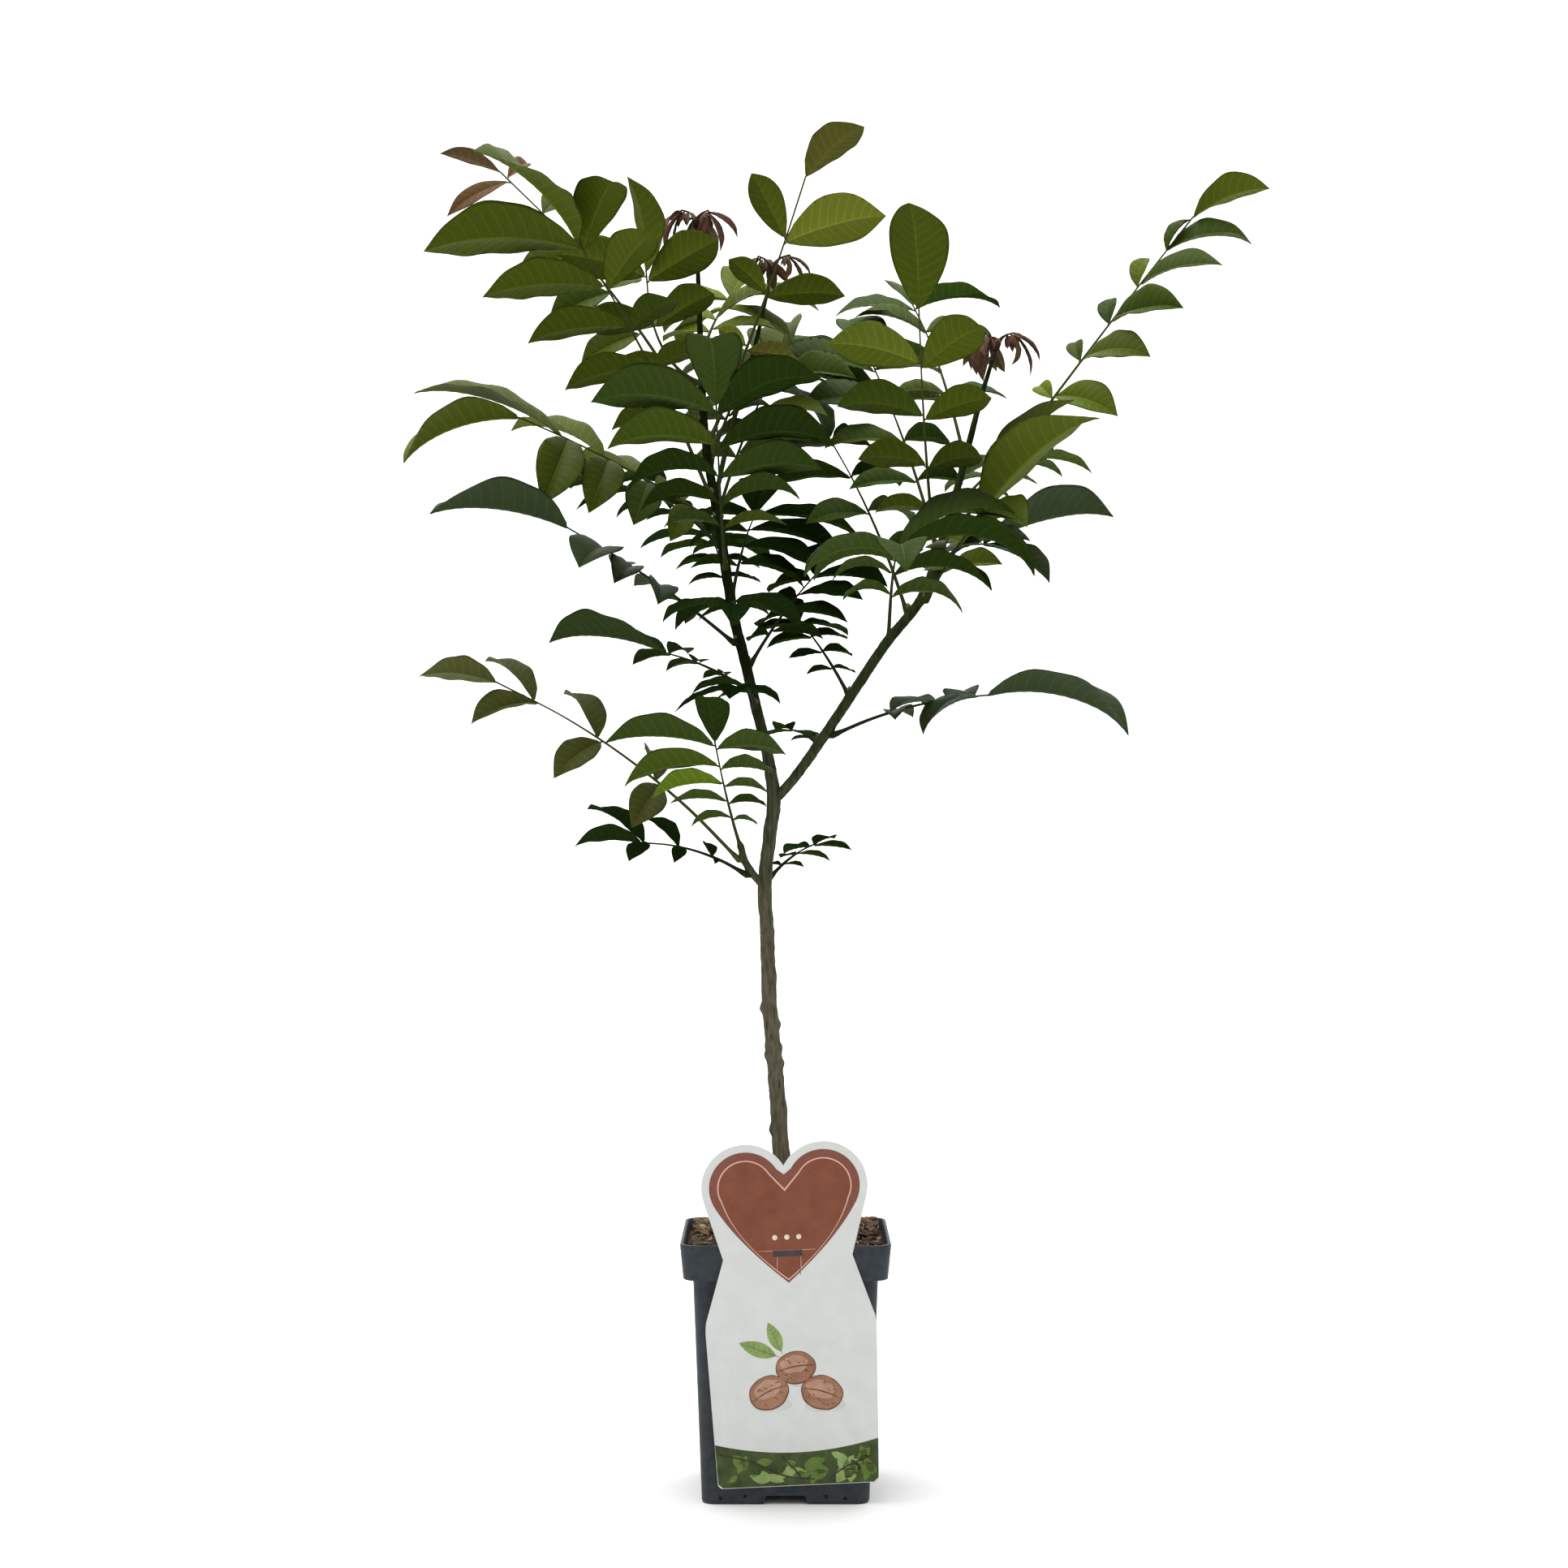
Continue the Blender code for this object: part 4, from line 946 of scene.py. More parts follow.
def card_matrix():
    """From the face of the card to the world: across, up and out of the back."""
    turn = Matrix.Rotation(CARD_LEAN, 4, "X") @ Matrix.Rotation(CARD_TURN, 4, "Y")
    stand = Matrix(((1, 0, 0, 0), (0, 0, 1, 0), (0, 1, 0, 0), (0, 0, 0, 1)))
    return Matrix.Translation(CARD_FOOT) @ turn @ stand


def linked(name, data):
    """New object of the data in the scene."""
    made = bpy.data.objects.new(name, data)
    bpy.context.scene.collection.objects.link(made)
    return made


class Pile:
    """Points and faces of one joined mesh, with a material slot for each face."""

    def __init__(self):
        self.points = []
        self.faces = []
        self.slots = []
        self.count = 0

    def add(self, points, *blocks):
        """Adds points with blocks of corner numbers, each with one slot for all or one slot for each face."""
        for rows, slots in blocks:
            self.faces.append(rows + self.count)
            self.slots.append(np.broadcast_to(slots, len(rows)))
        self.points.append(points)
        self.count += len(points)

    def add_shape(self, shape, slot=0):
        """Adds points with faces of several lengths."""
        points, faces = shape
        blocks = []
        for size in sorted({len(face) for face in faces}):
            blocks.append((np.array([face for face in faces if len(face) == size], np.int64), slot))
        self.add(np.array([tuple(point) for point in points], float), *blocks)

    def made(self, name, materials, smooth=True):
        """Object of all that was added."""
        mesh = bpy.data.meshes.new(name)
        points = np.concatenate(self.points).astype(np.float32)
        corners = np.concatenate([rows.ravel() for rows in self.faces]).astype(np.int32)
        totals = np.concatenate([np.full(len(rows), rows.shape[1]) for rows in self.faces])
        starts = np.concatenate([[0], np.cumsum(totals)[:-1]]).astype(np.int32)
        mesh.vertices.add(len(points))
        mesh.vertices.foreach_set("co", points.ravel())
        mesh.loops.add(len(corners))
        mesh.loops.foreach_set("vertex_index", corners)
        mesh.polygons.add(len(totals))
        mesh.polygons.foreach_set("loop_start", starts)
        for material in materials:
            mesh.materials.append(material)
        mesh.polygons.foreach_set("material_index", np.concatenate(self.slots).astype(np.int32))
        mesh.polygons.foreach_set("use_smooth", np.full(len(totals), smooth))
        mesh.update(calc_edges=True)
        mesh.validate()
        return linked(name, mesh)


def dressed(piece, slot, *nodes):
    """The piece rides on the body of the plant and stands for the nodes."""
    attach(piece, "root")
    if nodes:
        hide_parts(*nodes)
    return piece


def paint(name, colour, roughness, specular):
    """Plain material of one colour."""
    made = bpy.data.materials.new(name)
    made.use_nodes = True
    shader = made.node_tree.nodes["Principled BSDF"]
    shader.inputs["Base Color"].default_value = (*colour, 1.0)
    shader.inputs["Roughness"].default_value = roughness
    shader.inputs["Specular IOR Level"].default_value = specular
    made.diffuse_color = (*colour, 1.0)
    return made


def node_of(tree, kind, **inputs):
    """A new shader node with input values by name."""
    made = tree.nodes.new(kind)
    for name, value in inputs.items():
        made.inputs[name.replace("_", " ")].default_value = value
    return made


def ramp_of(tree, factor, stops):
    """Colour ramp over a factor; stops are pairs of a place and a colour."""
    ramp = tree.nodes.new("ShaderNodeValToRGB")
    tree.links.new(factor, ramp.inputs["Fac"])
    elements = ramp.color_ramp.elements
    while len(elements) < len(stops):
        elements.new(0.5)
    for element, (place, colour) in zip(elements, stops):
        element.position = place
        element.color = (*colour, 1.0)
    return ramp.outputs["Color"]


def noise_of(tree, coordinates, scale, stretch, detail=NOISE_DETAIL):
    """Noise factor in object space, drawn out along an axis by stretch."""
    mapping = tree.nodes.new("ShaderNodeMapping")
    mapping.inputs["Scale"].default_value = stretch
    tree.links.new(coordinates, mapping.inputs["Vector"])
    found = node_of(tree, "ShaderNodeTexNoise", Scale=scale, Detail=detail, Roughness=NOISE_ROUGH)
    tree.links.new(mapping.outputs["Vector"], found.inputs["Vector"])
    return found.outputs["Fac"]


def bumped(tree, shader, height, strength, distance):
    """Bump from a height factor on the shader."""
    bump = node_of(tree, "ShaderNodeBump", Strength=strength, Distance=distance)
    tree.links.new(height, bump.inputs["Height"])
    tree.links.new(bump.outputs["Normal"], shader.inputs["Normal"])


def mottled(name, stops, look):
    """Material whose colour and relief follow one noise."""
    made = paint(name, stops[len(stops) // 2][1], look.roughness, look.specular)
    tree = made.node_tree
    shader = tree.nodes["Principled BSDF"]
    where = tree.nodes.new("ShaderNodeTexCoord").outputs["Object"]
    cloud = noise_of(tree, where, look.scale, look.stretch)
    tree.links.new(ramp_of(tree, cloud, stops), shader.inputs["Base Color"])
    bumped(tree, shader, cloud, look.strength, look.distance)
    return made


def scaled(colour, share):
    return tuple(min(1.0, channel * share) for channel in colour)


def vein_rows(length):
    """Rows along the midrib as shares, how far each lies between two veins, and which strips are veins."""
    count = max(VEIN_COUNTS[0], min(VEIN_COUNTS[1], round(length / VEIN_EVERY)))
    half = VEIN_HALF / length
    step = VEIN_RUN / count
    rows = [ROW_ENDS[0]]
    between = [0.0]
    veined = [False]
    for index in range(count):
        centre = FIRST_VEIN + step * (index + 0.5)
        rows += [centre - half, centre + half, centre + step / 2]
        between += [0.0, 0.0, 1.0]
        veined += [True, False, False]
    rows.append(ROW_ENDS[1])
    between.append(0.0)
    return np.array(rows), np.array(between), veined


def outline(along):
    """Half width of a leaflet at shares of its length, 1 at its widest."""
    along = np.clip(along, 0.0, 1.0)
    return np.sin(np.pi * along**1.1) ** (0.66 + 0.42 * along)


def leaflet_points(blade, chance):
    """Upper and lower points of a leaflet in rows and columns, with its base and tip."""
    rows, between, veined = vein_rows(blade.length)
    side = np.concatenate([-np.array(COLUMNS[::-1]), [0.0], np.array(COLUMNS)])
    reach = np.abs(side)
    along = rows[:, None] + VEIN_SWEEP * reach**VEIN_CURVE * (rows * (1 - rows))[:, None]
    half = outline(along) * blade.width / 2
    fold = blade.fold * chance.uniform(*FOLD_SPREAD)
    across = side * half * math.cos(fold)
    lift = reach * half * math.sin(fold) * (1 + CROWN - CROWN * CROWN_FADE * reach)
    lift += PUCKER * blade.length * between[:, None] * np.sin(np.pi * reach) ** 0.7
    phase = chance.uniform(0.0, WAVE_PHASE)
    ripples = chance.uniform(*WAVE_COUNTS) * 2 * math.pi
    lift += WAVE * half * reach**2 * np.sin(ripples * along + phase + np.sign(side) * WAVE_HAND_SHIFT)
    dropped = np.clip(along - TIP_DROP_FROM, 0, 1) ** 2
    lift -= TIP_DROP * blade.length * dropped * chance.uniform(*TIP_DROP_SPREAD)
    turn = TWIST * chance.uniform(-1.0, 1.0) * along
    across, lift = (
        across * np.cos(turn) - lift * np.sin(turn),
        across * np.sin(turn) + lift * np.cos(turn),
    )
    across = across + BOW * blade.length * chance.uniform(-1.0, 1.0) * along**2
    upper = on_spine(blade, along, across, lift)
    rib = np.where(reach < 0.01, MIDRIB_DEPTH * (1 - along), 0.0)
    rib = rib + np.where(between[:, None] < 0.5, RIB_DEPTH, 0.0) * (reach < RIB_REACH)
    lower = on_spine(blade, along, across, lift - BLADE_SKIN - rib)
    ends = np.array([[0.0], [1.0]])
    bow = (across[-1:, len(COLUMNS)] * np.array([0.0, 1.0]))[:, None]
    drop = (lift[-1:, len(COLUMNS)] * np.array([0.0, 1.0]))[:, None]
    return upper, lower, on_spine(blade, ends, bow, drop)[:, 0], veined


def on_spine(blade, along, across, lift):
    """World points of a leaflet from shares of its length, sideways places and heights over the midrib."""
    bend = max(blade.droop, 0.02)
    first = bend * START_RISE
    angle = first - bend * along
    length = blade.length - BLADE_START
    ahead = BLADE_START + (math.sin(first) - np.sin(angle)) / bend * length
    above = (np.cos(angle) - math.cos(first)) / bend * length
    forward = np.array(blade.along)
    normal = np.array(blade.normal)
    sideways = np.array(blade.along.cross(blade.normal))
    ahead = ahead - lift * np.sin(angle)
    above = above + lift * np.cos(angle)
    return (
        np.array(blade.root)
        + ahead[..., None] * forward
        + above[..., None] * normal
        + across[..., None] * sideways
    )


def grid_faces(grid):
    """Quads between the rows and columns of a grid of corner numbers."""
    return np.stack([grid[:-1, :-1], grid[:-1, 1:], grid[1:, 1:], grid[1:, :-1]], axis=-1).reshape(-1, 4)


def fan_faces(row, point):
    """Triangles from a row of corner numbers to one point."""
    return np.stack([row[:-1], row[1:], np.full(len(row) - 1, point)], axis=-1)


def leaflet(pile, blade, chance, slot):
    """One leaflet of two faces sewn at the margin, with the slots of one tone from slot on."""
    upper, lower, ends, veined = leaflet_points(blade, chance)
    count, columns = upper.shape[:2]
    grid = np.arange(count * columns).reshape(count, columns)
    inner = lower[:, 1:-1]
    base = count * columns + count * (columns - 2)
    back = grid.copy()
    back[:, 1:-1] = np.arange(count * columns, base).reshape(inner.shape[:2])
    middle = columns // 2
    is_vein = np.zeros((count - 1, columns - 1), bool)
    is_vein[:, middle - 1 : middle + 1] = True
    is_vein[:, 1:-1] |= np.array(veined, bool)[:, None]
    blocks = []
    for corners, face_slot, way in ((grid, slot, 1), (back, slot + 2, -1)):
        caps = np.concatenate([fan_faces(corners[0, ::-1], base), fan_faces(corners[-1], base + 1)])
        blocks.append((grid_faces(corners)[:, ::way], face_slot + is_vein.ravel()))
        blocks.append((caps[:, ::way], face_slot))
    pile.add(np.concatenate([upper.reshape(-1, 3), inner.reshape(-1, 3), ends]), *blocks)


def fine_stalk(tube):
    """Closely spaced centres along a smooth curve through the points of a tube."""
    length = sum((b - a).length for a, b in zip(tube.points, tube.points[1:]))
    return spline(tube.points, max(2, round(length / STALK_RUN / (len(tube.points) - 1))))


def midstalk(pile, tube, inside):
    """Midstalk of a leaf with a swollen base whose first ring lies inside its limb."""
    centres = fine_stalk(tube)
    narrowed = STALK_END_RADIUS * STALK_END_SHARE - STALK_FOOT_RADIUS
    radii = []
    for index, centre in enumerate(centres):
        share = index / (len(centres) - 1)
        away = (centre - centres[0]).length
        radius = STALK_FOOT_RADIUS + narrowed * min(1.0, share * STALK_TAPER)
        radii.append(radius + BASE_SWELL * math.exp(-((away / BASE_SWELL_RUN) ** 2)))
    rings = Tube([inside, *centres], [radii[0] * STALK_SUNK_SHARE, *radii])
    pile.add_shape(tube_shape(rings, STALK_ROUND))
    return centres


def petiole(pile, centres, blade):
    """Short stalk from the midstalk to the start of a leaflet."""
    foot = min(centres, key=lambda centre: (centre - blade.root).length)
    end = blade.root + blade.along * (BLADE_START + PETIOLE_END)
    radii = [PETIOLE_RADIUS * share for share in PETIOLE_TAPER]
    pile.add_shape(tube_shape(Tube([foot, foot.lerp(end, 0.5), end], radii), PETIOLE_SIDES))


def tone_materials(names):
    """Materials of each tone: upper face, its veins, lower face and its ribs."""
    made = []
    for name in names:
        above, below = TONES[name]
        shine = 0.0 if name in DULL_TONES else LEAF_SHINE
        made.append(paint(f"{name}_leaf", above, LEAF_ROUGH, shine))
        made.append(paint(f"{name}_vein", scaled(above, VEIN_LIFT), LEAF_ROUGH, shine))
        made.append(paint(f"{name}_underside", below, UNDER_ROUGH, shine))
        made.append(paint(f"{name}_rib", scaled(below, RIB_LIFT), UNDER_ROUGH, shine))
    return made


def is_bronze(mass, index):
    return mass.name == BRONZE_LEAF and index < BRONZE_COUNT


def tone_of(mass, index, chance):
    """Tone of the leaflet with this number."""
    if is_bronze(mass, index):
        return "bronze"
    if mass.name in SPRAY_TONES:
        return SPRAY_TONES[mass.name][index % len(SPRAY_TONES[mass.name])]
    return chance.choice(TINT_TONES[mass.tint])


def fine_blades(mass, index, blade):
    """The leaflet as it is drawn: slim where it is bronze, and three slim ones for each of a young shoot."""
    slim = blade._replace(width=blade.width * SLIM)
    if mass.tint == "young":
        return [turned(slim, pitch, yaw, scale) for pitch, yaw, scale in YOUNG_SPREAD]
    return [slim if is_bronze(mass, index) else blade]


def tones_of(masses, tint):
    """Names of all tones the leaves of a tint use."""
    found = list(TINT_TONES[tint])
    for mass in masses:
        found += SPRAY_TONES.get(mass.name, ())
        if mass.name == BRONZE_LEAF:
            found.append("bronze")
    return sorted(set(found))


def midstalks(pile, mass, limb):
    """Adds the midstalks of a leaf or shoot and returns their centres."""
    foot = mass.tubes[0].points[0]
    if mass.tint == "young":
        inside = foot - (mass.tubes[0].points[1] - foot).normalized() * SHOOT_SINK
    else:
        inside = limb_at(limb, foot.z)[0].lerp(foot, LEAF_START)
    centres = midstalk(pile, mass.tubes[0], inside)
    for tube in mass.tubes[1:]:
        start, ahead = stalk_point(tube, 0.0)
        centres += midstalk(pile, tube, start - ahead * FROND_SINK)
    return centres


def foliage(masses, limbs):
    """Leaflets and midstalks of all leaves and shoots, joined by tint."""
    leaf_limbs = {row.name: row.limb for row in (*LEAVES, *SHOOTS)}
    for tint in TINT_TONES:
        leaflets, stalks = Pile(), Pile()
        chosen = [mass for mass in masses if mass.tint == tint]
        tones = tones_of(chosen, tint)
        for mass in chosen:
            chance = random.Random(mass.name + "_fine")
            centres = midstalks(stalks, mass, limbs[leaf_limbs[mass.name]])
            for index, blade in enumerate(mass.blades):
                petiole(stalks, centres, blade)
                for fine in fine_blades(mass, index, blade):
                    leaflet(leaflets, fine, chance, 4 * tones.index(tone_of(mass, index, chance)))
        names = [mass.name for mass in chosen]
        dressed(leaflets.made(f"{tint}_leaflets", tone_materials(tones)), f"{tint}_leaf", *names)
        stalk_paint = paint(f"{tint}_stalk", STALK_TONES[tint], STALK_ROUGH, STALK_SHINE)
        dressed(stalks.made(f"{tint}_midstalks", [stalk_paint]), f"{tint}_leaf", *names)


def close_rings(knots):
    """Centres and radii along a smooth limb at an even spacing."""
    fine = smooth_limb(knots, LIMB_FINE_STEPS)
    runs = np.array([(b - a).length for a, b in zip(fine.points, fine.points[1:])])
    travelled = np.concatenate([[0.0], np.cumsum(runs)])
    wanted = np.linspace(0.0, travelled[-1], max(2, round(travelled[-1] / LIMB_EVERY)))
    points = np.array([tuple(point) for point in fine.points])
    centres = np.stack([np.interp(wanted, travelled, points[:, axis]) for axis in range(3)], axis=1)
    return centres, np.interp(wanted, travelled, fine.radii)


def bark_relief(points, radii, roughness, swellings, rings):
    """How far each point of a limb stands out by its grain, its swellings and its rings."""
    relief = np.zeros(points.shape[:2])
    for row, radius in enumerate(radii):
        for side, (x, y, z) in enumerate(points[row]):
            grain = noise.fractal(Vector((x, y, z * BARK_STRETCH)) * BARK_GRAIN, *BARK_FRACTAL)
            relief[row, side] = roughness * radius * grain
    for place, size, height in swellings:
        near = np.linalg.norm(points - np.array(place), axis=2)
        relief += height * np.exp(-((near / size) ** 2))
    for height, half, rise in rings:
        relief += rise * np.exp(-(((points[..., 2] - height) / half) ** 2))
    return relief


def bark_limb(knots, sides, roughness, swellings, rings):
    """A limb of close rings with furrows, and a swelling at each place it carries something."""
    centres, radii = close_rings(knots)
    angles = np.arange(sides) * 2 * math.pi / sides
    along = np.gradient(centres, axis=0)
    along /= np.linalg.norm(along, axis=1, keepdims=True)
    first = np.cross(along, (0.0, 1.0, 0.0))
    first /= np.linalg.norm(first, axis=1, keepdims=True)
    other = np.cross(along, first)
    out = first[:, None] * np.cos(angles)[None, :, None] + other[:, None] * np.sin(angles)[None, :, None]
    points = centres[:, None] + out * radii[:, None, None]
    points = points + out * bark_relief(points, radii, roughness, swellings, rings)[..., None]
    tip = len(centres) * sides
    grid = np.arange(tip).reshape(len(centres), sides)
    grid = np.concatenate([grid, grid[:, :1]], axis=1)
    tip_point = centres[-1] + along[-1] * radii[-1] * LIMB_TIP
    caps = np.concatenate([fan_faces(grid[-1], tip), fan_faces(grid[0, ::-1], tip + 1)])
    pile = Pile()
    points = np.concatenate([points.reshape(-1, 3), tip_point[None], centres[:1]])
    pile.add(points, (grid_faces(grid), 0), (caps, 0))
    return pile


def on_limb(limb, height, angle):
    """Point on the skin of a limb; the angle is from the front towards the right."""
    centre, _, radius = limb_at(limb, height)
    turn = math.radians(angle)
    return centre + Vector((math.sin(turn), -math.cos(turn), 0.0)) * radius


def wood(limbs, masses):
    """Trunk, bough, spur and centre shoot with bark relief."""
    for name, sides, roughness in BARK_LIMBS:
        feet = [mass.tubes[0].points[0] for row, mass in zip(LEAVES, masses) if row.limb == name]
        swellings = [(foot, NODE_SWELL_SIZE, NODE_SWELL) for foot in feet]
        slot, rings = "green_bark", ()
        if name == "trunk":
            slot, rings = "bark", TRUNK_RINGS
            for height, angle, size, rise in (*TRUNK_SCARS, *TRUNK_PITS):
                swellings.append((on_limb(limbs[name], height, angle), size, rise))
        pile = bark_limb(LIMBS[name], sides, roughness, swellings, rings)
        dressed(pile.made(name + "_bark", [bark_paint(name)]), slot, name)


def bark_paint(name):
    """Bark that goes from grey brown at the soil through olive to green at the tips; on the trunk the upper
    part is painted shade, near black.
    """
    made = paint(name + "_bark", BARK_COLOUR, BARK_ROUGH, BARK_SHINE)
    tree = made.node_tree
    shader = tree.nodes["Principled BSDF"]
    where = tree.nodes.new("ShaderNodeTexCoord").outputs["Object"]
    height = tree.nodes.new("ShaderNodeSeparateXYZ")
    tree.links.new(where, height.inputs["Vector"])
    drift = tree.nodes.new("ShaderNodeMath")
    drift.operation = "MULTIPLY_ADD"
    tree.links.new(noise_of(tree, where, BARK_CLOUD, BARK_CLOUD_STRETCH), drift.inputs[0])
    drift.inputs[1].default_value = BARK_DRIFT
    tree.links.new(height.outputs["Z"], drift.inputs[2])
    streaks = noise_of(tree, where, STREAKS, STREAK_STRETCH, STREAK_DETAIL)
    mix = tree.nodes.new("ShaderNodeMix")
    mix.data_type = "RGBA"
    mix.blend_type = "MULTIPLY"
    mix.inputs["Factor"].default_value = STREAK_SHARE
    # the trunk's stops darken its upper part with painted shade
    stops = BARK_STOPS if name == "trunk" else GREEN_BARK_STOPS
    tree.links.new(ramp_of(tree, drift.outputs["Value"], stops), mix.inputs["A"])
    tree.links.new(ramp_of(tree, streaks, STREAK_STOPS), mix.inputs["B"])
    tree.links.new(mix.outputs["Result"], shader.inputs["Base Color"])
    bumped(tree, shader, streaks, STREAK_STRENGTH, STREAK_DEPTH)
    return made


def bud_points(foot, heading, radius):
    """Small egg shaped bud that leans out over the foot of a leaf."""
    axis = (heading * BUD_LEAN + UP).normalized()
    middle = foot + UP * radius * BUD_UP - heading * radius * BUD_IN
    centres, radii = [], []
    for step in range(BUD_STEPS + 1):
        t = step / BUD_STEPS
        centres.append(middle + axis * (t - 0.5) * radius * BUD_LONG)
        radii.append(max(0.05, math.sin(math.pi * min(0.97, t * 0.9 + 0.08)) ** 0.8) * radius)
    return tube_shape(Tube(centres, radii), BUD_SIDES)


def buds(masses):
    """One joined piece of the buds over the feet of the leaves."""
    pile = Pile()
    for row, mass in zip(LEAVES, masses):
        stalk = mass.tubes[0]
        heading = flat_heading(stalk.points[0], stalk.points[-1])
        radius = BUD_RADIUS if row.limb != "low_spur" else BUD_RADIUS * BUD_SMALL
        pile.add_shape(bud_points(stalk.points[0] - heading * BUD_BACK, heading, radius))
    dressed(pile.made("leaf_buds", [mottled("bud_scale", BUD_STOPS, BUD_LOOK)]), "green_bark")


def arc(x, y, radius, first, last, steps):
    """Places along an arc about a centre, between two angles in degrees."""
    start, end = math.radians(first), math.radians(last)
    turns = [start + (end - start) * step / steps for step in range(steps + 1)]
    return [(x + radius * math.cos(turn), y + radius * math.sin(turn)) for turn in turns]


def smooth_square(half, height):
    """Square with finely rounded corners."""
    corner = half * CORNER_SHARE
    flat = half - corner
    points = []
    for first, x, y in ((0, flat, flat), (90, -flat, flat), (180, -flat, -flat), (270, flat, -flat)):
        for place in arc(x, y, corner, first, first + 90, POT_CORNER_STEPS):
            points.append(Vector((*place, height)))
    return points


def rounded_profile():
    """Half widths and heights of the pot from its foot over the rim to its inner floor."""
    return [
        *arc(FOOT_HALF - FOOT_ROUND, FOOT_ROUND, FOOT_ROUND, -90, 0, FOOT_STEPS),
        *((BODY_HALF + out, SKIRT_FOOT + up) for out, up in SKIRT_FILLET),
        (SKIRT_HALF - SKIRT_ROUND, SKIRT_FOOT),
        (SKIRT_HALF, SKIRT_FOOT + SKIRT_ROUND),
        *arc(RIM_HALF - RIM_ROUND, POT_TOP - RIM_ROUND, RIM_ROUND, 0, 90, RIM_STEPS),
        (RIM_INNER_HALF + RIM_BREAK_IN, POT_TOP),
        (RIM_INNER_HALF, POT_TOP - RIM_BREAK_DOWN),
        (SHELF_HALF, SHELF_TOP),
        (WALL_TOP_HALF, WALL_TOP),
        (WALL_FOOT_HALF, FLOOR_TOP),
    ]


def closed_mesh(name, points, faces, materials):
    """Object of a closed shape with its faces facing out, smooth but for its sharp edges."""
    shell = bmesh.new()
    corners = [shell.verts.new(point) for point in points]
    for face in faces:
        shell.faces.new([corners[index] for index in face])
    bmesh.ops.remove_doubles(shell, verts=shell.verts, dist=1e-6)
    bmesh.ops.recalc_face_normals(shell, faces=shell.faces)
    mesh = bpy.data.meshes.new(name)
    shell.to_mesh(mesh)
    shell.free()
    for material in materials:
        mesh.materials.append(material)
    for polygon in mesh.polygons:
        polygon.use_smooth = True
    mesh.set_sharp_from_angle(angle=SHARP_ANGLE)
    return linked(name, mesh)


def channel_cutter(quarter):
    """Cutter for a drain channel under the floor, open at one side of the pot."""
    turn = Matrix.Rotation(quarter * math.pi / 2, 3, "Z")
    section = (
        (-CHANNEL_HALF, CHANNEL_START),
        (CHANNEL_HALF, CHANNEL_START),
        (CHANNEL_ROOF_HALF, CHANNEL_HEIGHT),
        (-CHANNEL_ROOF_HALF, CHANNEL_HEIGHT),
    )
    reaches = (CHANNEL_END, RIM_HALF)
    points = [turn @ Vector((across, -reach, up)) for reach in reaches for across, up in section]
    return closed_mesh(f"channel_{quarter}", points, [*ring_faces(2, 4), (0, 1, 2, 3), (4, 5, 6, 7)], [])


def pot_shell():
    """Moulded pot with rounded edges and its four drain channels."""
    rows = rounded_profile()
    points = [point for half, height in rows for point in smooth_square(half, height)]
    sides = len(points) // len(rows)
    faces = ring_faces(len(rows), sides)
    faces.append(tuple(range(sides)))
    faces.append(tuple(range(len(points) - sides, len(points))))
    piece = closed_mesh("pot_shell", points, faces, [mottled("pot_plastic", POT_STOPS, POT_LOOK)])
    for quarter in range(4):
        cutter = channel_cutter(quarter)
        cut = piece.modifiers.new("Channel", "BOOLEAN")
        cut.operation = "DIFFERENCE"
        cut.object = cutter
        cut.solver = "EXACT"
        bpy.context.view_layer.update()
        shaped = piece.evaluated_get(bpy.context.evaluated_depsgraph_get())
        mesh = bpy.data.meshes.new_from_object(shaped)
        piece.modifiers.clear()
        piece.data = mesh
        bpy.data.objects.remove(cutter)
    piece.data.set_sharp_from_angle(angle=SHARP_ANGLE)
    dressed(piece, "pot_plastic", "pot")


def pot_hole_shade_plugs():
    """Small round drain holes low on each side of the pot, as plugs painted dark with the shade inside the
    holes, that end just outside the wall.
    """
    pile = Pile()
    for quarter in range(4):
        turn = Matrix.Rotation(quarter * math.pi / 2, 3, "Z")
        for across, height in POT_HOLES:
            reach = FOOT_HALF + (BODY_HALF - FOOT_HALF) * height / SKIRT_FOOT
            centres = [turn @ Vector((across, -reach + depth, height)) for depth in POT_HOLE_DEPTHS]
            pile.add_shape(tube_shape(Tube(centres, [POT_HOLE_RADIUS] * 2), POT_HOLE_SIDES))
    shade = mottled("pot_holes", POT_HOLE_SHADE_STOPS, POT_HOLE_LOOK)
    dressed(pile.made("pot_holes", [shade]), "pot_plastic")


def soil_top_half():
    share = (SOIL_TOP - SHELF_TOP) / (POT_TOP - SHELF_TOP)
    return SHELF_HALF + (RIM_INNER_HALF - SHELF_HALF) * share


def kept_inside(x, y, half):
    """Place moved into a square with rounded corners."""
    corner = half * CORNER_SHARE
    flat = half - corner
    x = max(-half, min(half, x))
    y = max(-half, min(half, y))
    over = math.hypot(abs(x) - flat, abs(y) - flat)
    if abs(x) > flat and abs(y) > flat and over > corner:
        x = math.copysign(flat + (abs(x) - flat) * corner / over, x)
        y = math.copysign(flat + (abs(y) - flat) * corner / over, y)
    return x, y


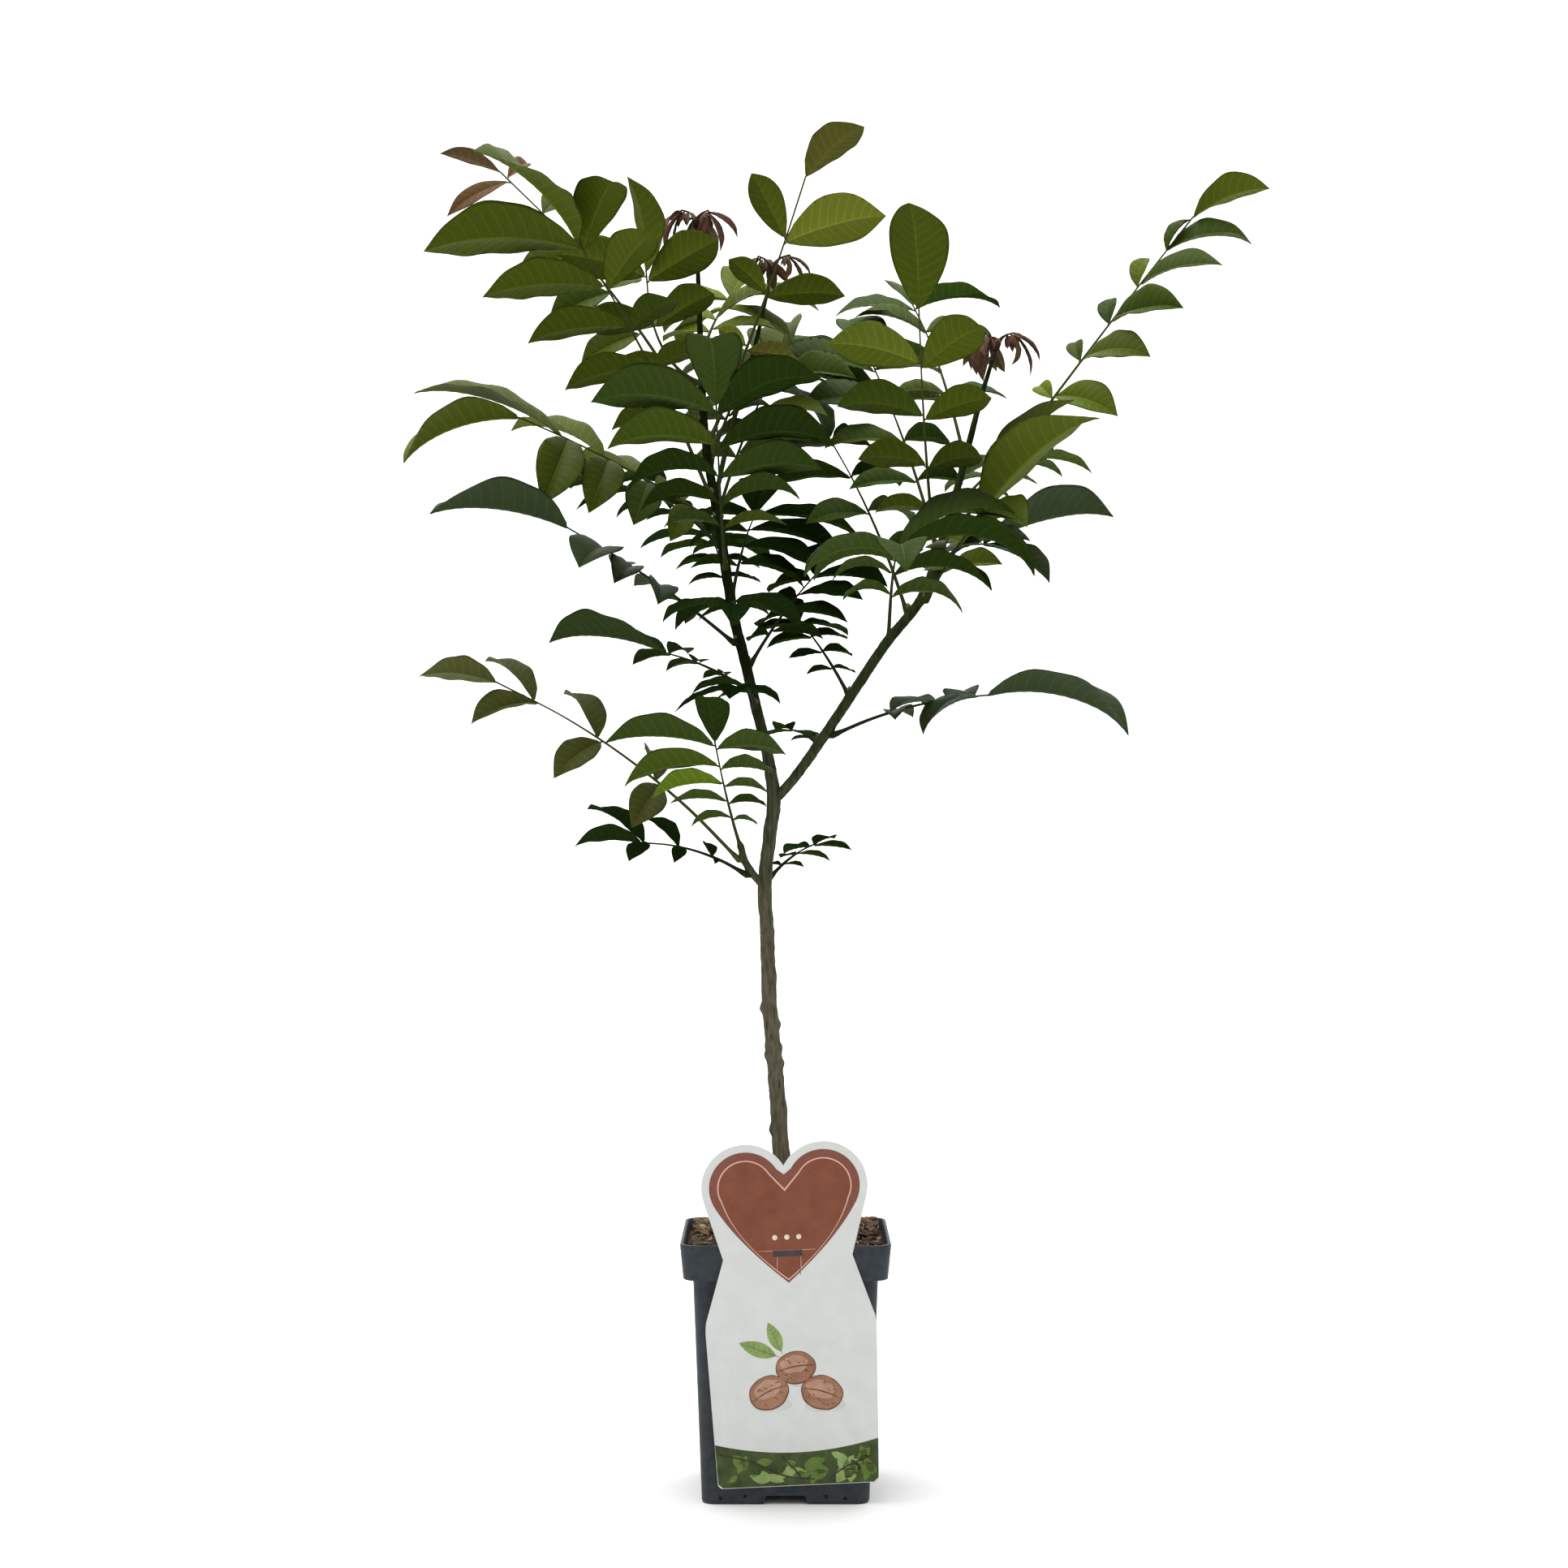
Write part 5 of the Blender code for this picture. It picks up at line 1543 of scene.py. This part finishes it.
def soil_bed():
    """Uneven soil surface that fills the pot."""
    half = soil_top_half() - GAP
    side = np.linspace(-half, half, SOIL_GRID)
    points = []
    for wide_y in side:
        for wide_x in side:
            x, y = kept_inside(wide_x, wide_y, half)
            rise = noise.fractal(Vector((x, y, SOIL_LAYER)) * SOIL_GRAIN, *SOIL_FRACTAL) * SOIL_RELIEF
            points.append((x, y, SOIL_TOP - SOIL_SINK + rise))
    grid = np.arange(SOIL_GRID**2).reshape(SOIL_GRID, SOIL_GRID)
    rim = np.concatenate([grid[0, :-1], grid[:-1, -1], grid[-1, :0:-1], grid[:0:-1, 0]])
    low = np.arange(len(rim)) + SOIL_GRID**2
    points += [(points[index][0] * SOIL_TAPER, points[index][1] * SOIL_TAPER, SOIL_FOOT) for index in rim]
    walls = np.stack([np.roll(rim, -1), rim, low, np.roll(low, -1)], axis=-1)
    floor = np.stack([np.roll(low, -1), low, np.full(len(rim), len(points))], axis=-1)
    points.append((0.0, 0.0, SOIL_FOOT))
    pile = Pile()
    pile.add(np.array(points), (grid_faces(grid), 0), (walls, 0), (floor, 0))
    dressed(pile.made("soil_bed", [mottled("soil_bed", SOIL_STOPS, SOIL_LOOK)]), "potting_bark", "soil")


def chip_shape(place, size, chance):
    """Flat irregular chip of bark, tipped at random."""
    sides = chance.choice(CHIP_SIDES)
    length, width, thick = size
    turn = Matrix.Rotation(chance.uniform(0, math.tau), 3, "Z")
    for axis in "XY":
        turn = turn @ Matrix.Rotation(chance.gauss(0.0, CHIP_TIP), 3, axis)
    points = []
    for layer, share in CHIP_LAYERS:
        for side in range(sides):
            angle = math.tau * side / sides + chance.uniform(-CHIP_SKEW, CHIP_SKEW)
            reach = share * chance.uniform(*CHIP_REACH) / 2
            rise = thick * (layer + chance.uniform(-CHIP_UNEVEN, CHIP_UNEVEN))
            corner = Vector((math.cos(angle) * length * reach, math.sin(angle) * width * reach, rise))
            points.append(place + turn @ corner)
    faces = ring_faces(3, sides)
    faces.append(tuple(reversed(range(sides))))
    faces.append(tuple(range(2 * sides, 3 * sides)))
    return points, faces


def straw_shape(x, y, chance):
    """Thin bent straw that lies across the chips."""
    turn = chance.uniform(0, math.tau)
    reach = chance.uniform(*STRAW_REACH)
    height = SOIL_TOP + CHIP_PILE * chance.uniform(*STRAW_HEIGHT)
    run = Vector((math.cos(turn), math.sin(turn), chance.uniform(-STRAW_SLOPE, STRAW_SLOPE))) * reach
    middle = Vector((x, y, height))
    side = Vector((-run.y, run.x, 0.0)) * chance.uniform(-STRAW_BEND, STRAW_BEND)
    centres = [middle - run, middle + side * 0.7 + UP * STRAW_RISE, middle + run]
    radius = chance.uniform(*STRAW_RADIUS)
    return tube_shape(Tube(centres, [radius, radius, radius * 0.7]), STRAW_SIDES)


def off_trunk(x, y):
    return math.hypot(x - LIMBS["trunk"][0][0], y)


def chips():
    """Bark chips and bits of straw strewn over the soil."""
    chance = random.Random(SOIL_SEED)
    half = soil_top_half() - CHIP_MARGIN
    pile = Pile()
    for _ in range(CHIP_COUNT):
        x, y = chance.uniform(-half, half), chance.uniform(-half, half)
        if off_trunk(x, y) < CHIP_TRUNK_ROOM:
            continue
        long = CHIP_LENGTH + CHIP_LONGER * chance.random() ** 2
        size = (long, long * chance.uniform(*CHIP_WIDTH), long * chance.uniform(*CHIP_THICK))
        x, y = kept_inside(x, y, half + CHIP_OVER - long / 2)
        place = Vector((x, y, SOIL_TOP - CHIP_SINK + chance.uniform(0.0, CHIP_PILE)))
        pile.add_shape(chip_shape(place, size, chance), chance.choice(CHIP_CHOICE))
    for _ in range(STRAW_COUNT):
        x, y = chance.uniform(-half, half), chance.uniform(-half, half)
        x, y = kept_inside(x, y, half - STRAW_MARGIN)
        if off_trunk(x, y) > STRAW_TRUNK_ROOM:
            pile.add_shape(straw_shape(x, y, chance), len(CHIP_TONES))
    tones = []
    for index, stops in enumerate((*CHIP_TONES, STRAW_STOPS)):
        tones.append(mottled(f"bark_chip_{index + 1}", stops, CHIP_LOOK))
    dressed(pile.made("bark_chips", tones, smooth=False), "potting_bark")


def flat_prism(outline, near, far):
    """Points and outward faces of a plate between two depths from the face of the card."""
    area = sum(a[0] * b[1] - b[0] * a[1] for a, b in zip(outline, (*outline[1:], outline[0])))
    if area > 0:
        outline = list(reversed(outline))
    place = card_matrix()
    count = len(outline)
    points = [place @ Vector((across, up, depth)) for depth in (near, far) for across, up in outline]
    cover = tessellate_polygon([[Vector((across, up, 0.0)) for across, up in outline]])
    faces = ring_faces(2, count)
    for face in cover:
        a, b, c = (Vector((*outline[index], 0.0)) for index in face)
        turned_over = (b - a).cross(c - a).z > 0
        front = tuple(reversed(face)) if turned_over else tuple(face)
        faces.append(front)
        faces.append(tuple(index + count for index in reversed(front)))
    return points, faces


def heart_outline(lobe_radius, notch_up, tip_up):
    """Outline of a heart on the card from its notch over a lobe to its tip and back."""
    half = [(0.0, notch_up), *arc(LOBE_OUT, LOBE_UP, lobe_radius, *HEART_TURN, HEART_STEPS)]
    side, control, tip = Vector(half[-1]), Vector(HEART_CONTROL), Vector((0.0, tip_up))
    for step in range(1, HEART_TIP_STEPS + 1):
        half.append(tuple(bezier(side, control, tip, step / HEART_TIP_STEPS)))
    return half + [(-across, up) for across, up in reversed(half[1:-1])]


def swung(across, up, turn, x, y):
    """Place on the card that lies x and y from a point, along axes turned by an angle in degrees."""
    lean = math.radians(turn)
    return across + x * math.cos(lean) - y * math.sin(lean), up + x * math.sin(lean) + y * math.cos(lean)


def ellipse_outline(across, up, half_wide, half_high, turn, steps=36, uneven=0.0):
    """Outline of an ellipse whose width lies at an angle, with an uneven edge."""
    points = []
    for step in range(steps):
        angle = math.tau * step / steps
        reach = 1.0
        for waves, share, phase in ((5, 1.0, across * 900), (9, 0.6, up * 700)):
            reach += uneven * share * math.sin(waves * angle + phase)
        x, y = half_wide * reach * math.cos(angle), half_high * reach * math.sin(angle)
        points.append(swung(across, up, turn, x, y))
    return points


def stroke_outline(points, width, taper=0.4):
    """Outline of a brush stroke along points that narrows to both ends."""
    left, right = [], []
    for index, (x, y) in enumerate(points):
        before = points[max(0, index - 1)]
        after = points[min(len(points) - 1, index + 1)]
        run = math.hypot(after[0] - before[0], after[1] - before[1])
        side_x, side_y = -(after[1] - before[1]) / run, (after[0] - before[0]) / run
        share = index / (len(points) - 1)
        half = width / 2 * (taper + (1 - taper) * math.sin(math.pi * share))
        left.append((x + side_x * half, y + side_y * half))
        right.append((x - side_x * half, y - side_y * half))
    return left + right[::-1]


def leaf_outline(across, up, length, width, turn):
    """Outline of a pointed leaf that grows from a place at an angle."""
    edge = []
    for step in range(1, LEAF_STEPS):
        along = step / LEAF_STEPS
        edge.append((along * length, width / 2 * math.sin(math.pi * along**0.9) ** 0.85))
    points = [(0.0, 0.0), *edge, (length, 0.0), *((x, -y) for x, y in reversed(edge))]
    return [swung(across, up, turn, x, y) for x, y in points]


def band_top(across):
    """Height of the curved upper edge of the green band."""
    return BAND_MIDDLE_UP + (BAND_SIDE_UP - BAND_MIDDLE_UP) * (across / CARD_FOOT_HALF) ** 2


def card_half(up):
    return CARD_FOOT_HALF + (CARD_WIDE_HALF - CARD_FOOT_HALF) * up / CARD_WIDE_UP


def in_band(across, up, edge):
    """Whether a place on the card lies well inside the green band."""
    is_between = BAND_FOOT_UP < up < band_top(across) - BAND_LEAF_TOP_ROOM
    return is_between and abs(across) < edge - BAND_LEAF_SIDE_ROOM


def green_band():
    """Shapes of the leafy band at the foot of the card: outline, layer and colour."""
    chance = random.Random(PRINT_SEED)
    edge = card_half(BAND_SIDE_UP) - BAND_SIDE_IN
    foot = card_half(BAND_FOOT_UP) - BAND_FOOT_IN
    outline = [(-foot, BAND_CORNER), (-foot + BAND_CORNER, BAND_FOOT_UP)]
    outline += [(-across, up) for across, up in reversed(outline)]
    for step in range(2 * BAND_STEPS + 1):
        across = edge * (1 - step / BAND_STEPS)
        outline.append((across, band_top(across)))
    shapes = [(outline, 0, "band_dark")]
    for index in range(BAND_LEAVES):
        length = chance.uniform(*BAND_LEAF_LENGTH)
        row = leaf_outline(
            chance.uniform(-edge, edge),
            chance.uniform(BAND_FOOT_UP, BAND_SIDE_UP),
            length,
            length * chance.uniform(*BAND_LEAF_WIDTH),
            chance.uniform(0, 360),
        )
        tone = chance.choice(BAND_CHOICE)
        if all(in_band(across, up, edge) for across, up in row):
            shapes.append((row, 1 + index % 3, tone))
    for twig in TWIGS:
        curve = spline([Vector(place) for place in twig], TWIG_STEPS)
        shapes.append((stroke_outline(curve, TWIG_WIDTH, 0.7), 4, "twig"))
    return shapes


def nut_shapes(across, up, half_wide, half_high, turn):
    """Shapes of one whole nut: shade, edge, shell, light, seam and wrinkles."""
    chance = random.Random(round(across * NUT_SEED_SCALE))
    flat = half_high / half_wide
    shapes = []
    for layer, (tone, shift, rise, drop, wide, high, is_turned, uneven) in enumerate(NUT_LAYERS):
        row = ellipse_outline(
            across + shift,
            up + rise - half_high * drop,
            half_wide * wide,
            half_high * high,
            turn * is_turned,
            uneven=uneven,
        )
        shapes.append((row, layer, tone))

    def placed(x, y):
        return swung(across, up, turn, x * half_wide, y * half_wide)

    seam = []
    for x in np.linspace(-NUT_SEAM_HALF, NUT_SEAM_HALF, NUT_SEAM_STEPS):
        seam.append(placed(x, NUT_SEAM_BEND * math.cos(x * 1.5) * flat - NUT_SEAM_DROP))
    shapes.append((stroke_outline(seam, NUT_SEAM_WIDTH, 0.3), 5, "nut_dark"))
    for _ in range(NUT_WRINKLES):
        x = chance.uniform(-WRINKLE_ACROSS, WRINKLE_ACROSS)
        y = chance.choice((-1, 1)) * chance.uniform(*WRINKLE_UP) * flat
        rise = chance.uniform(-WRINKLE_RISE, WRINKLE_RISE)
        run = chance.uniform(*WRINKLE_RUN)
        row = []
        for t in (0, 0.25, 0.5, 0.75, 1):
            row.append(placed(x + run * (t - 0.5), y + rise * (t - 0.5) + WRINKLE_CURL * math.sin(t * 5.0)))
        shapes.append((stroke_outline(row, WRINKLE_WIDTH, 0.2), 4, "nut_dark"))
    return shapes


def leaf_print(across, up, length, width, turn):
    """Shapes of one printed leaf with its midrib and side veins."""
    rib = [swung(across, up, turn, length * t, 0.0) for t in LEAF_RIB]
    shapes = [
        (leaf_outline(across, up, length, width, turn), 1, "band_light"),
        (stroke_outline(rib, LEAF_RIB_WIDTH), 3, "band_green"),
    ]
    for step in range(1, LEAF_VEINS + 1):
        base = length * step / (LEAF_VEINS + 2)
        for reach in (width * VEIN_REACH, -width * VEIN_REACH):
            row = [swung(across, up, turn, base + VEIN_AHEAD * t, reach * t) for t in (0.0, 0.5, 1.0)]
            shapes.append((stroke_outline(row, LEAF_VEIN_WIDTH), 2, "band_green"))
    return shapes


def card_print():
    """Heart panel, the slot and its cuts as dark strips of painted shade with light lines beside them, nuts
    with a leaf pair, and the leafy band.
    """
    line = [(across, SLOT_UP + SLOT_LINE_RISE) for across in SLOT_LINE]
    slot = [(across, SLOT_UP) for across in (-SLOT_HALF, 0.0, SLOT_HALF)]
    shapes = [
        (heart_outline(*HEART_RIM), 0, "heart_rim"),
        (heart_outline(*HEART_LINE), 1, "heart_line"),
        (heart_outline(*HEART_INNER), 2, "heart_inner"),
        (stroke_outline(line, SLOT_LINE_WIDTH), 3, "heart_line"),
        # dark strip of painted shade in the slot
        (stroke_outline(slot, SLOT_HIGH, 1.0), 4, "slot_dark"),
    ]
    for across, drop in SLOT_CUTS:
        ups = (SLOT_UP - SLOT_CUT_START, SLOT_UP - drop / 2, SLOT_UP - drop)
        cut = [(across - slant, up) for slant, up in zip(SLOT_CUT_SLANT, ups)]
        beside = [(x + SLOT_LINE_WIDTH, y) for x, y in cut]
        shapes.append((stroke_outline(beside, SLOT_LINE_WIDTH), 3, "heart_line"))
        # dark strip of painted shade in the cut
        shapes.append((stroke_outline(cut, SLOT_CUT_WIDTH), 4, "slot_dark"))
    for step in (-1, 0, 1):
        dot = ellipse_outline(step * DOT_APART, DOT_UP, DOT_RADIUS, DOT_RADIUS, 0, DOT_STEPS)
        shapes.append((dot, 3, "cream"))
    for nut in NUTS:
        shapes += nut_shapes(*nut)
    for leaf in PRINT_LEAVES:
        shapes += leaf_print(*leaf)
    return shapes + green_band()


def plant_card():
    """Card with its heart top and its print."""
    plate = Pile()
    plate.add_shape(flat_prism(fine_card_outline(), -CARD_THICK, 0.0))
    paper = mottled("card_paper", CARD_STOPS, PAPER_LOOK)
    dressed(plate.made("card_plate", [paper], smooth=False), "card_print", "plant_card")
    names = list(PRINT_STOPS)
    art = Pile()
    for outline, layer, tone in card_print():
        near = -CARD_THICK - PRINT_STEP * (layer + 1)
        art.add_shape(flat_prism(outline, near, PRINT_SINK - CARD_THICK), names.index(tone))
    inks = [mottled("print_" + name, PRINT_STOPS[name], INK_LOOK) for name in names]
    dressed(art.made("card_art", inks, smooth=False), "card_print")


def fine_card_outline():
    """Outline of the card: its foot, waist and lobes, and the notch of the heart."""
    corner = CARD_FOOT_CORNER
    half = arc(CARD_FOOT_HALF - corner, corner, corner, -90, 0, CARD_STEPS)
    low, turn, high = (
        Vector((CARD_WIDE_HALF - inset, CARD_WIDE_UP + rise)) for inset, rise in CARD_WIDE_BEND
    )
    half += [tuple(bezier(low, turn, high, step / CARD_STEPS)) for step in range(CARD_STEPS + 1)]
    half.append((CARD_WAIST_HALF, CARD_WAIST_UP))
    notch = 180 - math.degrees(math.acos(LOBE_OUT / LOBE_RADIUS))
    half += arc(LOBE_OUT, LOBE_UP, LOBE_RADIUS, LOBE_START, notch, LOBE_STEPS)
    half[-1] = (0.0, half[-1][1])
    return half + [(-across, up) for across, up in reversed(half[:-1])]


def stage():
    """Pale floor that curves up into a backdrop."""
    curve = arc(BACKDROP_START, BACKDROP_ROUND, BACKDROP_ROUND, -90, 0, BACKDROP_STEPS)
    profile = [(-FLOOR_REACH, 0.0), *curve, (BACKDROP_START + BACKDROP_ROUND, FLOOR_REACH)]
    points = [(x, y, z - FLOOR_DROP) for y, z in profile for x in (-FLOOR_REACH, FLOOR_REACH)]
    faces = [(2 * i, 2 * i + 1, 2 * i + 3, 2 * i + 2) for i in range(len(profile) - 1)]
    pile = Pile()
    pile.add_shape((points, faces))
    floor = pile.made("studio_floor", [paint("studio_white", FLOOR_WHITE, FLOOR_ROUGH, FLOOR_SHINE)])


def softbox(name, place, aim, size, power):
    """Square area light that faces its aim."""
    light = bpy.data.lights.new(name, "AREA")
    light.shape = "SQUARE"
    light.size = size
    light.energy = power
    made = linked(name, light)
    made.location = place
    made.rotation_euler = (Vector(aim) - Vector(place)).to_track_quat("-Z", "Y").to_euler()


def lights_and_camera():
    """Even white sky, soft lights and the level camera."""
    world = bpy.data.worlds.new("studio")
    world.use_nodes = True
    background = world.node_tree.nodes["Background"]
    background.inputs["Color"].default_value = (1.0, 1.0, 1.0, 1.0)
    background.inputs["Strength"].default_value = SKY_STRENGTH
    bpy.context.scene.world = world
    for row in LIGHTS:
        softbox(*row)
    lens = bpy.data.cameras.new("camera")
    lens.lens = CAMERA_LENS
    lens.sensor_width = CAMERA_SENSOR
    camera = linked("camera", lens)
    camera.location = CAMERA_PLACE
    camera.rotation_euler = (math.pi / 2, 0.0, 0.0)
    bpy.context.scene.camera = camera
    bpy.context.scene.view_settings.view_transform = "Standard"


def main():
    limbs, masses = plan_masses()
    foliage(masses, limbs)
    wood(limbs, masses)
    buds(masses)
    pot_shell()
    pot_hole_shade_plugs()
    soil_bed()
    chips()
    plant_card()
    stage()
    lights_and_camera()


main()
